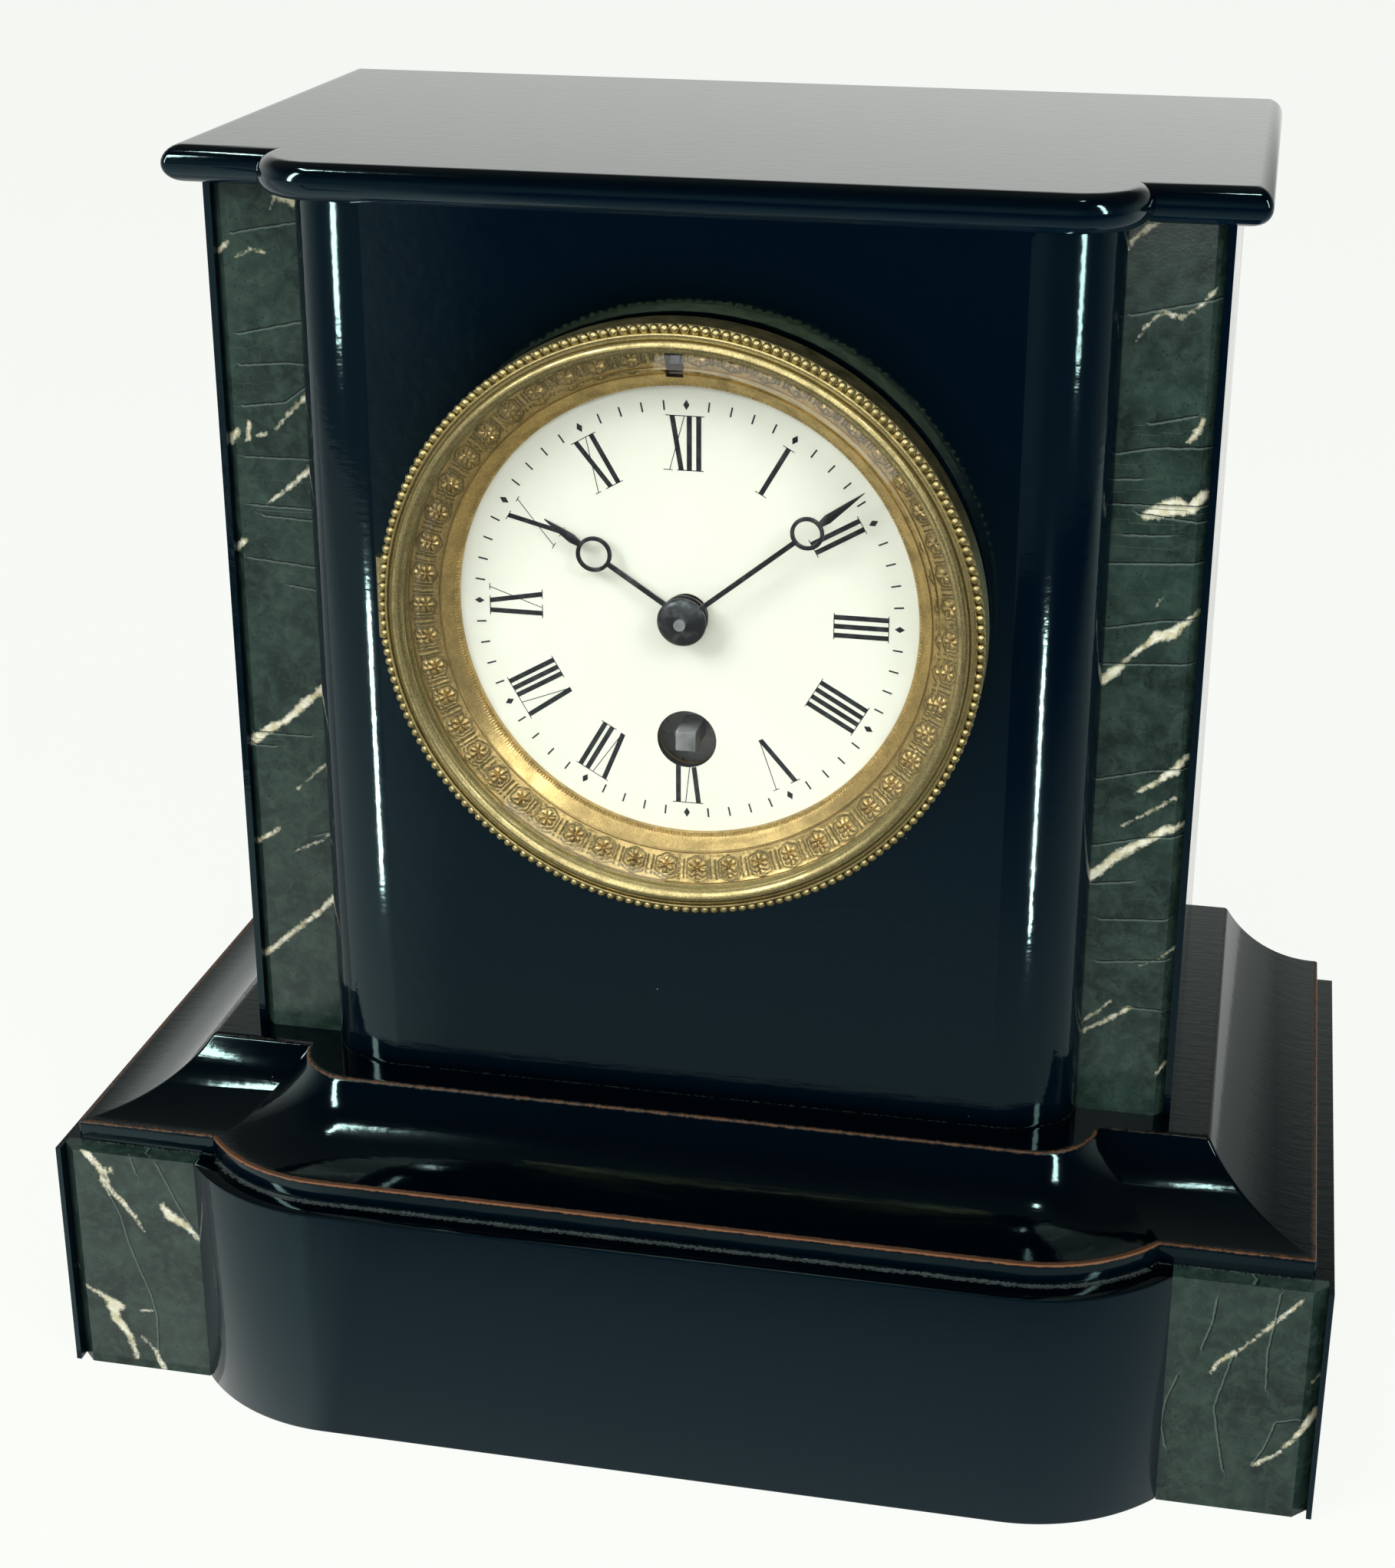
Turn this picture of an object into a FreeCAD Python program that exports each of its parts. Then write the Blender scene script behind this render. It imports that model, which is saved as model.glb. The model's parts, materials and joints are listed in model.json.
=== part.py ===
import FreeCAD, Part
import Sketcher
import math
import os
import re

# A small French-style mantel timepiece in an ebonised "slate" case with green marble insets.
# Frame: +Z up, the front faces -Y, the origin lies under the middle of the case on the ground.

doc = FreeCAD.newDocument("mantel_clock")
sheet = doc.addObject("Spreadsheet::Sheet", "Sizes")
sheet.set("A1", "Driving dimensions in millimetres and counts")
sheet_rows = [1]
aliases = set()


def enter(heading, group):
    """Write one group of driving dimensions under its heading, each with its alias."""
    sheet_rows[0] += 1
    sheet.set("A%d" % sheet_rows[0], heading)
    for alias, number in group.items():
        sheet_rows[0] += 1
        cell = "B%d" % sheet_rows[0]
        sheet.set("A%d" % sheet_rows[0], alias.replace("_", " "))
        sheet.set(cell, str(number))
        sheet.setAlias(cell, alias)
        aliases.add(alias)
    doc.recompute()


def link(formula):
    """Turn a formula in aliases into one that other objects can be bound to."""
    return re.sub(r"[a-z][a-z_]+", lambda m: "Sizes." + m.group() if m.group() in aliases else m.group(), formula)


def value(formula):
    """The number that a formula in aliases gives now."""
    return float(sheet.evalExpression(formula))


def bind(thing, **formulas):
    """Bind properties of an object to formulas in the sheet's aliases."""
    for name, formula in formulas.items():
        thing.setExpression(name.replace("_at_", ".Base."), link(formula))


# The wooden case, the base it stands on and the marble let into both

plinth_sizes = {
    "plinth_width": 224.2, "plinth_height": 44.8, "plinth_side_depth": 115.5, "plinth_bow": 11.9,
    "plinth_board": 16.0, "panel_thickness": 4.0, "panel_bevel": 2.4, "panel_reveal": 0.9,
}
enter("Plinth", plinth_sizes)
moulding_sizes = {
    "moulding_set_back": 22.2, "moulding_bow": 11.1, "moulding_run": 18.9, "cove_rise": 10.1,
    "cove_radius": 20.8, "cove_ledge": 1.5, "fillet_height": 4.0, "cut_overrun": 4.0,
}
enter("Base moulding", moulding_sizes)
body_sizes = {
    "body_side_step": 29.05, "body_set_back": 27.9, "body_height": 154.5, "body_bow": 10.0,
    "pilaster_strip": 16.15, "front_board": 14.0, "back_board": 6.0, "back_recess": 5.0,
    "pilaster_thickness": 3.0, "pilaster_bevel": 1.6, "pilaster_reveal": 1.2, "back_hole_radius": 41.0,
}
enter("Body", body_sizes)
overhang_sizes = {
    "moulding_top_overhang": 6.95, "cap_side_overhang": 5.25, "cap_front_overhang": 5.1,
    "bow_centre_overhang": 3.1, "cap_bow_overhang": 2.1,
}
enter("How far the moulding and the cap stand out beyond the body", overhang_sizes)
cap_sizes = {"cap_thickness": 6.0, "cap_bow": 11.9, "cap_nose_radius": 3.05}
enter("Cap", cap_sizes)
case_sums = {
    "plinth_depth": "=plinth_side_depth + plinth_bow",
    "moulding_depth": "=plinth_side_depth - moulding_set_back",
    "body_depth": "=plinth_side_depth - body_set_back",
    "body_width": "=plinth_width - 2 * body_side_step",
    "body_flat_half": "=body_width / 2 - pilaster_strip - body_bow",
    "moulding_top_width": "=body_width + 2 * moulding_top_overhang",
    "bow_centre_offset": "=body_flat_half + bow_centre_overhang",
    "cap_width": "=body_width + 2 * cap_side_overhang",
    "cap_depth": "=body_depth + cap_front_overhang",
    "cap_bow_offset": "=body_flat_half + cap_bow_overhang",
}
enter("Case dimensions that follow from those above", case_sums)

back_plane = "(plinth_depth / 2)"
moulding_bottom = "plinth_height"
ledge_level = "(plinth_height + fillet_height)"
body_bottom = "(plinth_height + fillet_height + cove_rise)"
body_top = "(plinth_height + fillet_height + cove_rise + body_height)"
body_half = "(body_width / 2)"
plinth_half = "(plinth_width / 2)"
front_half = "(body_flat_half + body_bow)"
pilaster_front = "(plinth_depth / 2 - body_depth)"
body_front = "(plinth_depth / 2 - body_depth - body_bow)"
panel_front = "(plinth_depth / 2 - plinth_side_depth)"
bow_centre = "(plinth_depth / 2 - moulding_depth)"


def box(name, x, y, z):
    """A rectangular block between pairs of formulas for its sides."""
    block = doc.addObject("Part::Box", name)
    bind(block, Length="(%s) - (%s)" % (x[1], x[0]), Width="(%s) - (%s)" % (y[1], y[0]),
         Height="(%s) - (%s)" % (z[1], z[0]), Placement_at_x=x[0], Placement_at_y=y[0], Placement_at_z=z[0])
    return block


turns = {"x": FreeCAD.Rotation(FreeCAD.Vector(0, 1, 0), 90),
         "y": FreeCAD.Rotation(FreeCAD.Vector(1, 0, 0), -90),
         "z": FreeCAD.Rotation()}


def cylinder(name, along, x, y, z, radius, length):
    """A round bar that starts at a point and runs along one axis."""
    bar = doc.addObject("Part::Cylinder", name)
    bar.Placement = FreeCAD.Placement(FreeCAD.Vector(), turns[along])
    bind(bar, Radius=radius, Height=length, Placement_at_x=x, Placement_at_y=y, Placement_at_z=z)
    return bar


def join(kind, name, pieces):
    """Fuse or intersect several objects into one, or gather them as a group of separate solids."""
    result = doc.addObject({"fuse": "Part::MultiFuse", "common": "Part::MultiCommon",
                            "group": "Part::Compound"}[kind], name)
    if kind == "group":
        result.Links = pieces
    else:
        result.Shapes = pieces
    return result


def cut(name, base, tool):
    """Take one object away from another."""
    result = doc.addObject("Part::Cut", name)
    result.Base, result.Tool = base, tool
    return result


def mirror(name, source):
    """The same piece on the other side of the case's middle plane."""
    twin = doc.addObject("Part::Mirroring", name)
    twin.Source, twin.Base, twin.Normal = source, FreeCAD.Vector(), FreeCAD.Vector(1, 0, 0)
    return twin


def arc_centre(start, end, radius, side):
    """The centre of an arc from start to end, to the left of the way when side is 1."""
    middle = (start + end) / 2
    chord = end - start
    rise = math.sqrt(max(radius ** 2 - (chord.Length / 2) ** 2, 0))
    left = FreeCAD.Vector(-chord.y, chord.x, 0).normalize()
    return middle + left * rise * side


def add_outline(sketch, outline):
    """Draw one closed loop of lines and arcs, each corner bound to the sheet."""
    corners, arcs = [], {}
    for item in outline:
        if item[0] == "arc":
            arcs[len(corners) - 1] = item
        else:
            corners.append(item)
    places = [FreeCAD.Vector(value(a), value(b), 0) for a, b in corners]
    first = sketch.GeometryCount
    ends = []
    for index, start in enumerate(places):
        end = places[(index + 1) % len(places)]
        if index in arcs:
            radius, side = value(arcs[index][1]), arcs[index][2]
            centre = arc_centre(start, end, radius, side)
            low, high = (start, end) if side > 0 else (end, start)
            angles = [math.atan2(p.y - centre.y, p.x - centre.x) for p in (low, high)]
            circle = Part.Circle(centre, FreeCAD.Vector(0, 0, 1), radius)
            sketch.addGeometry(Part.ArcOfCircle(circle, angles[0], angles[1]))
            ends.append((1, 2) if side > 0 else (2, 1))
        else:
            sketch.addGeometry(Part.LineSegment(start, end))
            ends.append((1, 2))
    for index, (across, up) in enumerate(corners):
        geometry, after = first + index, first + (index - 1) % len(corners)
        own = ends[index][0]
        sketch.addConstraint(Sketcher.Constraint("Coincident", after, ends[index - 1][1], geometry, own))
        hold_point(sketch, geometry, own, across, up)
        if index in arcs:
            row = sketch.addConstraint(Sketcher.Constraint("Radius", geometry, value(arcs[index][1])))
            sketch.setExpression("Constraints[%d]" % row, link(arcs[index][1]))


def hold_point(sketch, geometry, position, across, up):
    """Tie a point of a sketch to its two formulas, measured from the origin."""
    for kind, axis, formula in (("DistanceX", -2, across), ("DistanceY", -1, up)):
        if formula == "0":
            sketch.addConstraint(Sketcher.Constraint("PointOnObject", geometry, position, axis))
        else:
            row = sketch.addConstraint(
                Sketcher.Constraint(kind, -1, 1, geometry, position, value(formula)))
            sketch.setExpression("Constraints[%d]" % row, link(formula))


def add_circle(sketch, across, up, radius):
    """Draw a circle whose centre and radius follow the sheet."""
    circle = Part.Circle(FreeCAD.Vector(value(across), value(up), 0), FreeCAD.Vector(0, 0, 1), value(radius))
    geometry = sketch.addGeometry(circle)
    hold_point(sketch, geometry, 3, across, up)
    row = sketch.addConstraint(Sketcher.Constraint("Radius", geometry, value(radius)))
    sketch.setExpression("Constraints[%d]" % row, link(radius))


def draw(body, name, plane, level, loops):
    """A sketch on one of the body's own planes, moved along that plane's normal by a formula."""
    sketch = body.newObject("Sketcher::SketchObject", name)
    plane_object = [f for f in body.Origin.OriginFeatures if f.Role == plane + "_Plane"][0]
    sketch.AttachmentSupport = [(plane_object, "")]
    sketch.MapMode = "FlatFace"
    if level != "0":
        sketch.setExpression("AttachmentOffset.Base.z", link(level))
    for loop in loops:
        if loop[0] == "circle":
            add_circle(sketch, *loop[1:])
        else:
            add_outline(sketch, loop)
    return sketch


def place(body, x, z):
    """Move a body to its own axis on the movement or the dial."""
    if x != "0":
        body.setExpression("Placement.Base.x", link(x))
    body.setExpression("Placement.Base.z", link(z))


def plate(name, loops, front, back, x="0", z="0", body=None):
    """A flat piece cut to an outline seen from the front, between two depths."""
    body = body or doc.addObject("PartDesign::Body", name)
    sketch = draw(body, name + "_outline", "XZ", "-(%s)" % back, loops)
    pad = body.newObject("PartDesign::Pad", name + "_pad")
    pad.Profile = sketch
    pad.setExpression("Length", link("(%s) - (%s)" % (back, front)))
    if z != "0":
        place(body, x, z)
    return body


def turned(name, outline, x="0", z="0", body=None):
    """A piece turned about an axis that runs front to back: outline points are (radius, depth)."""
    body = body or doc.addObject("PartDesign::Body", name)
    sketch = draw(body, name + "_section", "XY", "0", [outline])
    turning = body.newObject("PartDesign::Revolution", name + "_turning")
    turning.Profile = sketch
    turning.ReferenceAxis = (sketch, ["V_Axis"])
    turning.Angle = 360
    if z != "0":
        place(body, x, z)
    return body


def run_along_x(name, outline, half_length):
    """A moulding run across the case: outline points are (depth, height)."""
    body = doc.addObject("PartDesign::Body", name)
    sketch = draw(body, name + "_profile", "YZ", "0", [outline])
    pad = body.newObject("PartDesign::Pad", name + "_pad")
    pad.Profile, pad.Midplane = sketch, True
    pad.setExpression("Length", link("2 * (%s)" % half_length))
    return body


def turned_upright(name, outline, x, y):
    """A piece turned about an upright axis: outline points are (radius, height)."""
    body = doc.addObject("PartDesign::Body", name)
    sketch = draw(body, name + "_section", "XZ", "0", [outline])
    turning = body.newObject("PartDesign::Revolution", name + "_turning")
    turning.Profile = sketch
    turning.ReferenceAxis = (sketch, ["V_Axis"])
    turning.Angle = 360
    bind(body, Placement_at_x=x, Placement_at_y=y)
    return body


# Plinth: a bow-fronted block between two marble faced ends, closed by side and back boards

bow_radius = "(plinth_depth - moulding_depth)"
panel_inner = "(bow_centre_offset + sqrt((%s) ^ 2 - ((%s) - (%s)) ^ 2))" % (bow_radius, bow_centre, panel_front)
panel_back = "((%s) + panel_thickness)" % panel_front
board_inner = "((%s) - plinth_board)" % plinth_half
bow_round = join("fuse", "plinth_bow_round", [
    cylinder("plinth_bow_right", "z", "bow_centre_offset", bow_centre, "0", bow_radius, "plinth_height"),
    cylinder("plinth_bow_left", "z", "-bow_centre_offset", bow_centre, "0", bow_radius, "plinth_height"),
    box("plinth_bow_middle", ("-bow_centre_offset", "bow_centre_offset"),
        ("-plinth_depth / 2", bow_centre), ("0", "plinth_height"))])
bow_nose = join("common", "plinth_bow_nose", [bow_round, box(
    "plinth_bow_window", ("-(%s)" % panel_inner, panel_inner), ("-plinth_depth / 2", panel_front),
    ("0", "plinth_height"))])
join("fuse", "plinth_front", [
    bow_nose,
    box("plinth_front_step", ("-(%s)" % panel_inner, panel_inner), (panel_front, panel_back),
        ("0", "plinth_height")),
    box("plinth_front_rail", ("-(%s)" % board_inner, board_inner),
        (panel_back, "(%s) + plinth_board" % panel_back), ("0", "plinth_height"))])
plinth_side = cut("plinth_right", box(
    "plinth_side_board", (board_inner, plinth_half), (panel_front, back_plane), ("0", "plinth_height")), box(
    "plinth_side_rebate", (board_inner, "(%s) - panel_reveal" % plinth_half), (panel_front, panel_back),
    ("0", "plinth_height")))
mirror("plinth_left", plinth_side)
box("plinth_back", ("-(%s)" % board_inner, board_inner), ("(%s) - plinth_board" % back_plane, back_plane),
    ("0", "plinth_height"))


def inset(name, inner, outer, front, back, bevel, bottom, top):
    """A polished marble slip let into the wood, bevelled down its outer edge."""
    body = doc.addObject("PartDesign::Body", name)
    outline = [(inner, front), ("(%s) - %s" % (outer, bevel), front), (outer, "(%s) + %s" % (front, bevel)),
               (outer, back), (inner, back)]
    sketch = draw(body, name + "_outline", "XY", bottom, [outline])
    pad = body.newObject("PartDesign::Pad", name + "_pad")
    pad.Profile = sketch
    pad.setExpression("Length", link("(%s) - (%s)" % (top, bottom)))
    return body


mirror("plinth_panel_left", inset(
    "plinth_panel_right", panel_inner, "((%s) - panel_reveal)" % plinth_half, panel_front, panel_back,
    "panel_bevel", "0", "plinth_height"))

# Base moulding: a cove above a square fillet, mitred round both ends and the bow front

cove_end = "(moulding_run - cove_ledge)"
cove_foot = "(%s)" % ledge_level


def cove_profile(edge, inside, sign):
    """The moulding's section: its top edge lies at `edge`, and it grows outwards in the sense `sign`."""
    out = "(%s) %s " % (edge, sign)
    return [(inside, moulding_bottom), (out + "moulding_run", moulding_bottom),
            (out + "moulding_run", ledge_level), (out + cove_end, ledge_level),
            ("arc", "cove_radius", 1 if sign == "-" else -1), (edge, body_bottom), (inside, body_bottom)]


moulding_long = run_along_x("moulding_front_run", cove_profile(bow_centre, back_plane, "-"),
                            "moulding_top_width / 2 + moulding_run + cut_overrun / 2")


def end_cutter(name, outline, front, back):
    """What is taken off the right end of a run so that the same section returns along the side."""
    body = doc.addObject("PartDesign::Body", name)
    sketch = draw(body, name + "_outline", "XZ", "-((%s) + cut_overrun)" % back, [outline])
    pad = body.newObject("PartDesign::Pad", name + "_pad")
    pad.Profile = sketch
    pad.setExpression("Length", link("(%s) - (%s) + 2 * cut_overrun" % (back, front)))
    return body


def mitred(name, run, cutter):
    """A run across the front whose two ends have the section of its sides."""
    both = join("fuse", name + "_ends", [cutter, mirror(name + "_left_end", cutter)])
    return cut(name, run, both)


moulding_edge = "(moulding_top_width / 2)"
moulding_end = end_cutter("moulding_right_end", [
    (moulding_edge, body_bottom), ("arc", "cove_radius", 1), (moulding_edge + " + " + cove_end, ledge_level),
    (moulding_edge + " + moulding_run", ledge_level),
    (moulding_edge + " + moulding_run", moulding_bottom + " - cut_overrun"),
    (moulding_edge + " + moulding_run + cut_overrun", moulding_bottom + " - cut_overrun"),
    (moulding_edge + " + moulding_run + cut_overrun", body_bottom + " + cut_overrun"),
    (moulding_edge, body_bottom + " + cut_overrun")], "%s - moulding_run" % bow_centre, back_plane)
moulding_box = mitred("moulding_block", moulding_long, moulding_end)
moulding_bow_run = run_along_x("moulding_bow_run", cove_profile(
    "(%s) - moulding_bow" % bow_centre, bow_centre, "-"), "bow_centre_offset")
moulding_corner = turned_upright("moulding_bow_corner", cove_profile("moulding_bow", "0", "+"),
                                 "bow_centre_offset", bow_centre)
join("fuse", "base_moulding", [moulding_box, moulding_bow_run, moulding_corner,
                               mirror("moulding_bow_corner_left", moulding_corner)])

# Body: front board with rounded bow corners and a bore for the dial, sides, back and marble pilasters

dial_sizes = {
    "dial_height": 148.2, "bore_radius": 44.6, "dial_sink": 0.3, "enamel_radius": 40.2,
    "enamel_thickness": 1.6, "dial_plate_radius": 42.8, "dial_plate_thickness": 0.8,
    "hand_hole_radius": 3.6, "winding_hole_radius": 5.0, "surround_radius": 48.2, "sleeve_radius": 44.2,
    "sleeve_wall": 0.8, "sleeve_depth": 22.0, "surround_flange": 1.2, "sight_radius": 38.2,
    "sight_rise": 0.65, "sight_step_radius": 40.6, "sight_step_rise": 3.0, "sight_rim_radius": 45.4,
    "sight_rim_rise": 5.0, "sight_metal": 1.0, "notch_width": 2.8, "notch_inner_radius": 40.0,
    "notch_outer_radius": 44.0,
}
enter("Dial and its brass surround", dial_sizes)
bore_z = "dial_height"
front_round = join("fuse", "front_board_round", [
    cylinder("front_bow_right", "z", "body_flat_half", pilaster_front, body_bottom, "body_bow", "body_height"),
    cylinder("front_bow_left", "z", "-body_flat_half", pilaster_front, body_bottom, "body_bow", "body_height"),
    box("front_board_flat", ("-body_flat_half", "body_flat_half"), (body_front, pilaster_front),
        (body_bottom, body_top)),
    box("front_board_back", ("-(%s)" % front_half, front_half),
        (pilaster_front, "(%s) + front_board" % body_front), (body_bottom, body_top))])
front_trimmed = join("common", "front_board_trimmed", [front_round, box(
    "front_board_window", ("-(%s)" % front_half, front_half),
    (body_front, "(%s) + front_board" % body_front), (body_bottom, body_top))])
cut("case_front", front_trimmed, cylinder(
    "front_bore", "y", "0", body_front, bore_z, "bore_radius", "front_board"))
pilaster_back = "((%s) + pilaster_thickness)" % pilaster_front
pilaster_outer = "((%s) - pilaster_reveal)" % body_half
body_side = cut("case_side_right", box(
    "side_board", (front_half, body_half), (pilaster_front, back_plane), (body_bottom, body_top)), box(
    "side_rebate", (front_half, pilaster_outer), (pilaster_front, pilaster_back), (body_bottom, body_top)))
mirror("case_side_left", body_side)
mirror("pilaster_left", inset("pilaster_right", front_half, pilaster_outer, pilaster_front, pilaster_back,
                              "pilaster_bevel", body_bottom, body_top))
case_back_front = "(plinth_depth / 2 - back_recess - back_board)"
case_back_back = "(plinth_depth / 2 - back_recess)"
cut("case_back", box("back_panel", ("-(%s)" % front_half, front_half), (case_back_front, case_back_back),
                     (body_bottom, body_top)),
    cylinder("back_panel_hole", "y", "0", case_back_front, bore_z, "back_hole_radius", "back_board"))

# Cap: a slab with a full half-round edge that follows the bow front

cap_half = "(cap_width / 2)"
cap_side_front = "(plinth_depth / 2 - cap_depth)"
cap_top = "((%s) + cap_thickness)" % body_top
nose_depth = "(cap_nose_radius - sqrt(cap_nose_radius ^ 2 - (cap_thickness / 2) ^ 2))"
cap_edge = "((%s) - %s)" % (cap_half, nose_depth)
cap_bow_front = "(%s - cap_bow + %s)" % (cap_side_front, nose_depth)
cap_corner_edge = "(cap_bow - %s)" % nose_depth
cap_inside = "(%s + cap_bow)" % cap_side_front


def nose_profile(edge, inside, side):
    """The cap's section from a line inside it to the edge where its half-round nose starts."""
    return [(inside, body_top), (edge, body_top), ("arc", "cap_nose_radius", side), (edge, cap_top),
            (inside, cap_top)]


cap_long = run_along_x("cap_front_run", nose_profile("%s + %s" % (cap_side_front, nose_depth), back_plane, -1),
                       cap_half + " + cut_overrun / 2")
cap_end = end_cutter("cap_right_end", [
    (cap_edge, body_top + " - cut_overrun"), (cap_half + " + cut_overrun", body_top + " - cut_overrun"),
    (cap_half + " + cut_overrun", cap_top + " + cut_overrun"), (cap_edge, cap_top + " + cut_overrun"),
    (cap_edge, cap_top), ("arc", "cap_nose_radius", -1), (cap_edge, body_top)], cap_side_front, back_plane)
cap_corner = turned_upright("cap_bow_corner", nose_profile(cap_corner_edge, "0", 1), "cap_bow_offset",
                            cap_side_front)
join("fuse", "cap_slab", [
    mitred("cap_block", cap_long, cap_end),
    run_along_x("cap_bow_run", nose_profile(cap_bow_front, cap_inside, -1), "cap_bow_offset"),
    cap_corner, mirror("cap_bow_corner_left", cap_corner)])

# Dial: enamel on a brass plate, the gilt sight ring before it and the surround that lines the bore

dial_front = "(%s + dial_sink)" % body_front
dial_back = "(%s + enamel_thickness)" % dial_front
dial_plate_back = "(%s + dial_plate_thickness)" % dial_back

plate_sizes = {
    "motion_space": 6.0, "plate_thickness": 2.2, "pillar_length": 24.0, "plate_radius": 38.5,
    "pillar_radius": 2.8, "pillar_across": 28.3, "pillar_up": 19.8, "pillar_tenon_radius": 1.6,
    "barrel_drop": 21.8, "intermediate_across": 11.6, "intermediate_drop": 8.5, "third_across": 7.3,
    "third_up": 11.5, "escape_up": 20.8, "anchor_up": 33.0, "regulator_across": 1.2, "regulator_up": 42.0,
    "minute_across": 8.3, "minute_up": 4.8, "click_across": 9.6, "click_up": 4.6, "pivot_radius": 0.45,
    "running_gap": 0.05, "seat_gap": 0.02, "arbor_radius": 0.95, "fine_arbor_radius": 0.6, "end_shake": 0.1,
    "dial_foot_radius": 1.5, "dial_foot_place": 33.0, "centre_hole_radius": 1.6, "anchor_hole_radius": 2.2,
    "plate_pin_tail": 0.2,
}
enter("Movement plates and where the arbors stand, from the dial's centre", plate_sizes)
front_plate_front = "(%s + motion_space)" % dial_plate_back
front_plate_back = "(%s + plate_thickness)" % front_plate_front
back_plate_front = "(%s + pillar_length)" % front_plate_back
back_plate_back = "(%s + plate_thickness)" % back_plate_front

plate("dial_enamel", [("circle", "0", "0", "enamel_radius"), ("circle", "0", "0", "hand_hole_radius"),
                      ("circle", "0", "-barrel_drop", "winding_hole_radius")], dial_front, dial_back, "0", bore_z)
dial_plate = plate("dial_plate", [
    ("circle", "0", "0", "dial_plate_radius"), ("circle", "0", "0", "hand_hole_radius"),
    ("circle", "0", "-barrel_drop", "winding_hole_radius")], dial_back, dial_plate_back)
dial_feet = [(share[0], share[1]) for share in ((0.0, 1.0), (0.866, -0.5), (-0.866, -0.5))]
for number, (across_share, up_share) in enumerate(dial_feet):
    plate("dial_foot_%d" % number, [("circle", "%g * dial_foot_place" % across_share if across_share else "0",
                                     "%g * dial_foot_place" % up_share, "dial_foot_radius")],
          dial_plate_back, front_plate_front, body=dial_plate)
dial_notch = dial_plate.newObject("PartDesign::Pocket", "dial_notch")
dial_notch.Profile = draw(dial_plate, "dial_notch_outline", "XZ", "-(%s)" % dial_plate_back, [
    [("-regulator_across - notch_width / 2", "notch_inner_radius"),
     ("-regulator_across + notch_width / 2", "notch_inner_radius"),
     ("-regulator_across + notch_width / 2", "dial_plate_radius + notch_width"),
     ("-regulator_across - notch_width / 2", "dial_plate_radius + notch_width")]])
dial_notch.Reversed = True
dial_notch.setExpression("Length", link("dial_plate_thickness"))
place(dial_plate, "0", bore_z)

flange_front = "(%s - surround_flange)" % body_front
turned("surround_ring", [
    ("sleeve_radius - sleeve_wall", flange_front), ("surround_radius", flange_front),
    ("surround_radius", body_front), ("sleeve_radius", body_front),
    ("sleeve_radius", "(%s) + sleeve_depth" % flange_front),
    ("sleeve_radius - sleeve_wall", "(%s) + sleeve_depth" % flange_front)], "0", bore_z)
sight_blank = turned("sight_ring_blank", [
    ("sight_radius", dial_front), ("sight_radius", "%s - sight_rise" % body_front),
    ("sight_step_radius", "%s - sight_step_rise" % body_front),
    ("sight_rim_radius", "%s - sight_rim_rise" % body_front), ("sight_rim_radius", flange_front),
    ("sight_rim_radius - sight_metal", flange_front),
    ("sight_rim_radius - sight_metal", "%s - sight_rim_rise + 1.4 * sight_metal" % body_front),
    ("sight_step_radius + sight_metal", "%s - sight_step_rise + 1.4 * sight_metal" % body_front),
    ("sight_radius + sight_metal", dial_front)], "0", bore_z)
cut("sight_ring", sight_blank, box(
    "sight_notch", ("-regulator_across - notch_width / 2", "-regulator_across + notch_width / 2"),
    ("%s - 2 * sight_rim_rise" % body_front, dial_front),
    ("dial_height + notch_inner_radius", "dial_height + notch_outer_radius")))

# Bezel: a hinged brass ring with a beaded edge that holds a thick bevelled glass

bezel_sizes = {
    "bezel_lift": 1.5, "bezel_inner_radius": 46.4, "bezel_wall_radius": 49.4, "bead_circle_radius": 48.9,
    "bead_radius": 1.15, "bead_level": 8.6, "bezel_front_radius": 47.2, "bezel_height": 10.35,
    "bezel_lip_radius": 45.3, "glass_radius": 46.2, "glass_level": 6.4, "glass_thickness": 2.6,
    "glass_bevel": 3.6, "glass_bevel_depth": 1.3, "tab_thickness": 0.6, "hinge_offset": 50.8,
    "hinge_level": 2.0, "knuckle_radius": 1.3, "hinge_pin_radius": 0.6, "hinge_half_length": 7.0,
    "middle_knuckle_half": 2.2, "knuckle_gap": 0.2,
}
enter("Bezel, glass and hinge", bezel_sizes)


def ahead(distance):
    """A depth in front of the body's front face."""
    return "(%s - (%s))" % (body_front, distance)


bezel_ring = turned("bezel_ring", [
    ("bezel_inner_radius", ahead("bezel_lift")), ("bezel_wall_radius", ahead("bezel_lift")),
    ("bezel_wall_radius", ahead("bead_level - bead_radius")),
    ("bead_circle_radius + bead_radius", ahead("bead_level")), ("arc", "bead_radius", 1),
    ("bead_circle_radius", ahead("bead_level + bead_radius")),
    ("bezel_front_radius", ahead("bezel_height")),
    ("bezel_lip_radius", ahead("glass_level + glass_thickness + tab_thickness")),
    ("bezel_lip_radius", ahead("glass_level + glass_thickness + seat_gap")),
    ("bezel_inner_radius", ahead("glass_level + glass_thickness + seat_gap"))], "0", bore_z)
turned("bezel_glass", [
    ("0", ahead("glass_level")), ("glass_radius", ahead("glass_level")),
    ("glass_radius", ahead("glass_level + glass_thickness - glass_bevel_depth")),
    ("glass_radius - glass_bevel", ahead("glass_level + glass_thickness")),
    ("0", ahead("glass_level + glass_thickness"))], "0", bore_z)
turned("glass_retainer", [
    ("glass_radius - 2 * tab_thickness", ahead("glass_level - tab_thickness")),
    ("bezel_inner_radius - seat_gap", ahead("glass_level - tab_thickness")),
    ("bezel_inner_radius - seat_gap", ahead("glass_level - seat_gap")),
    ("glass_radius - 2 * tab_thickness", ahead("glass_level - seat_gap"))], "0", bore_z)

hinge_y = ahead("hinge_level")


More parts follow.
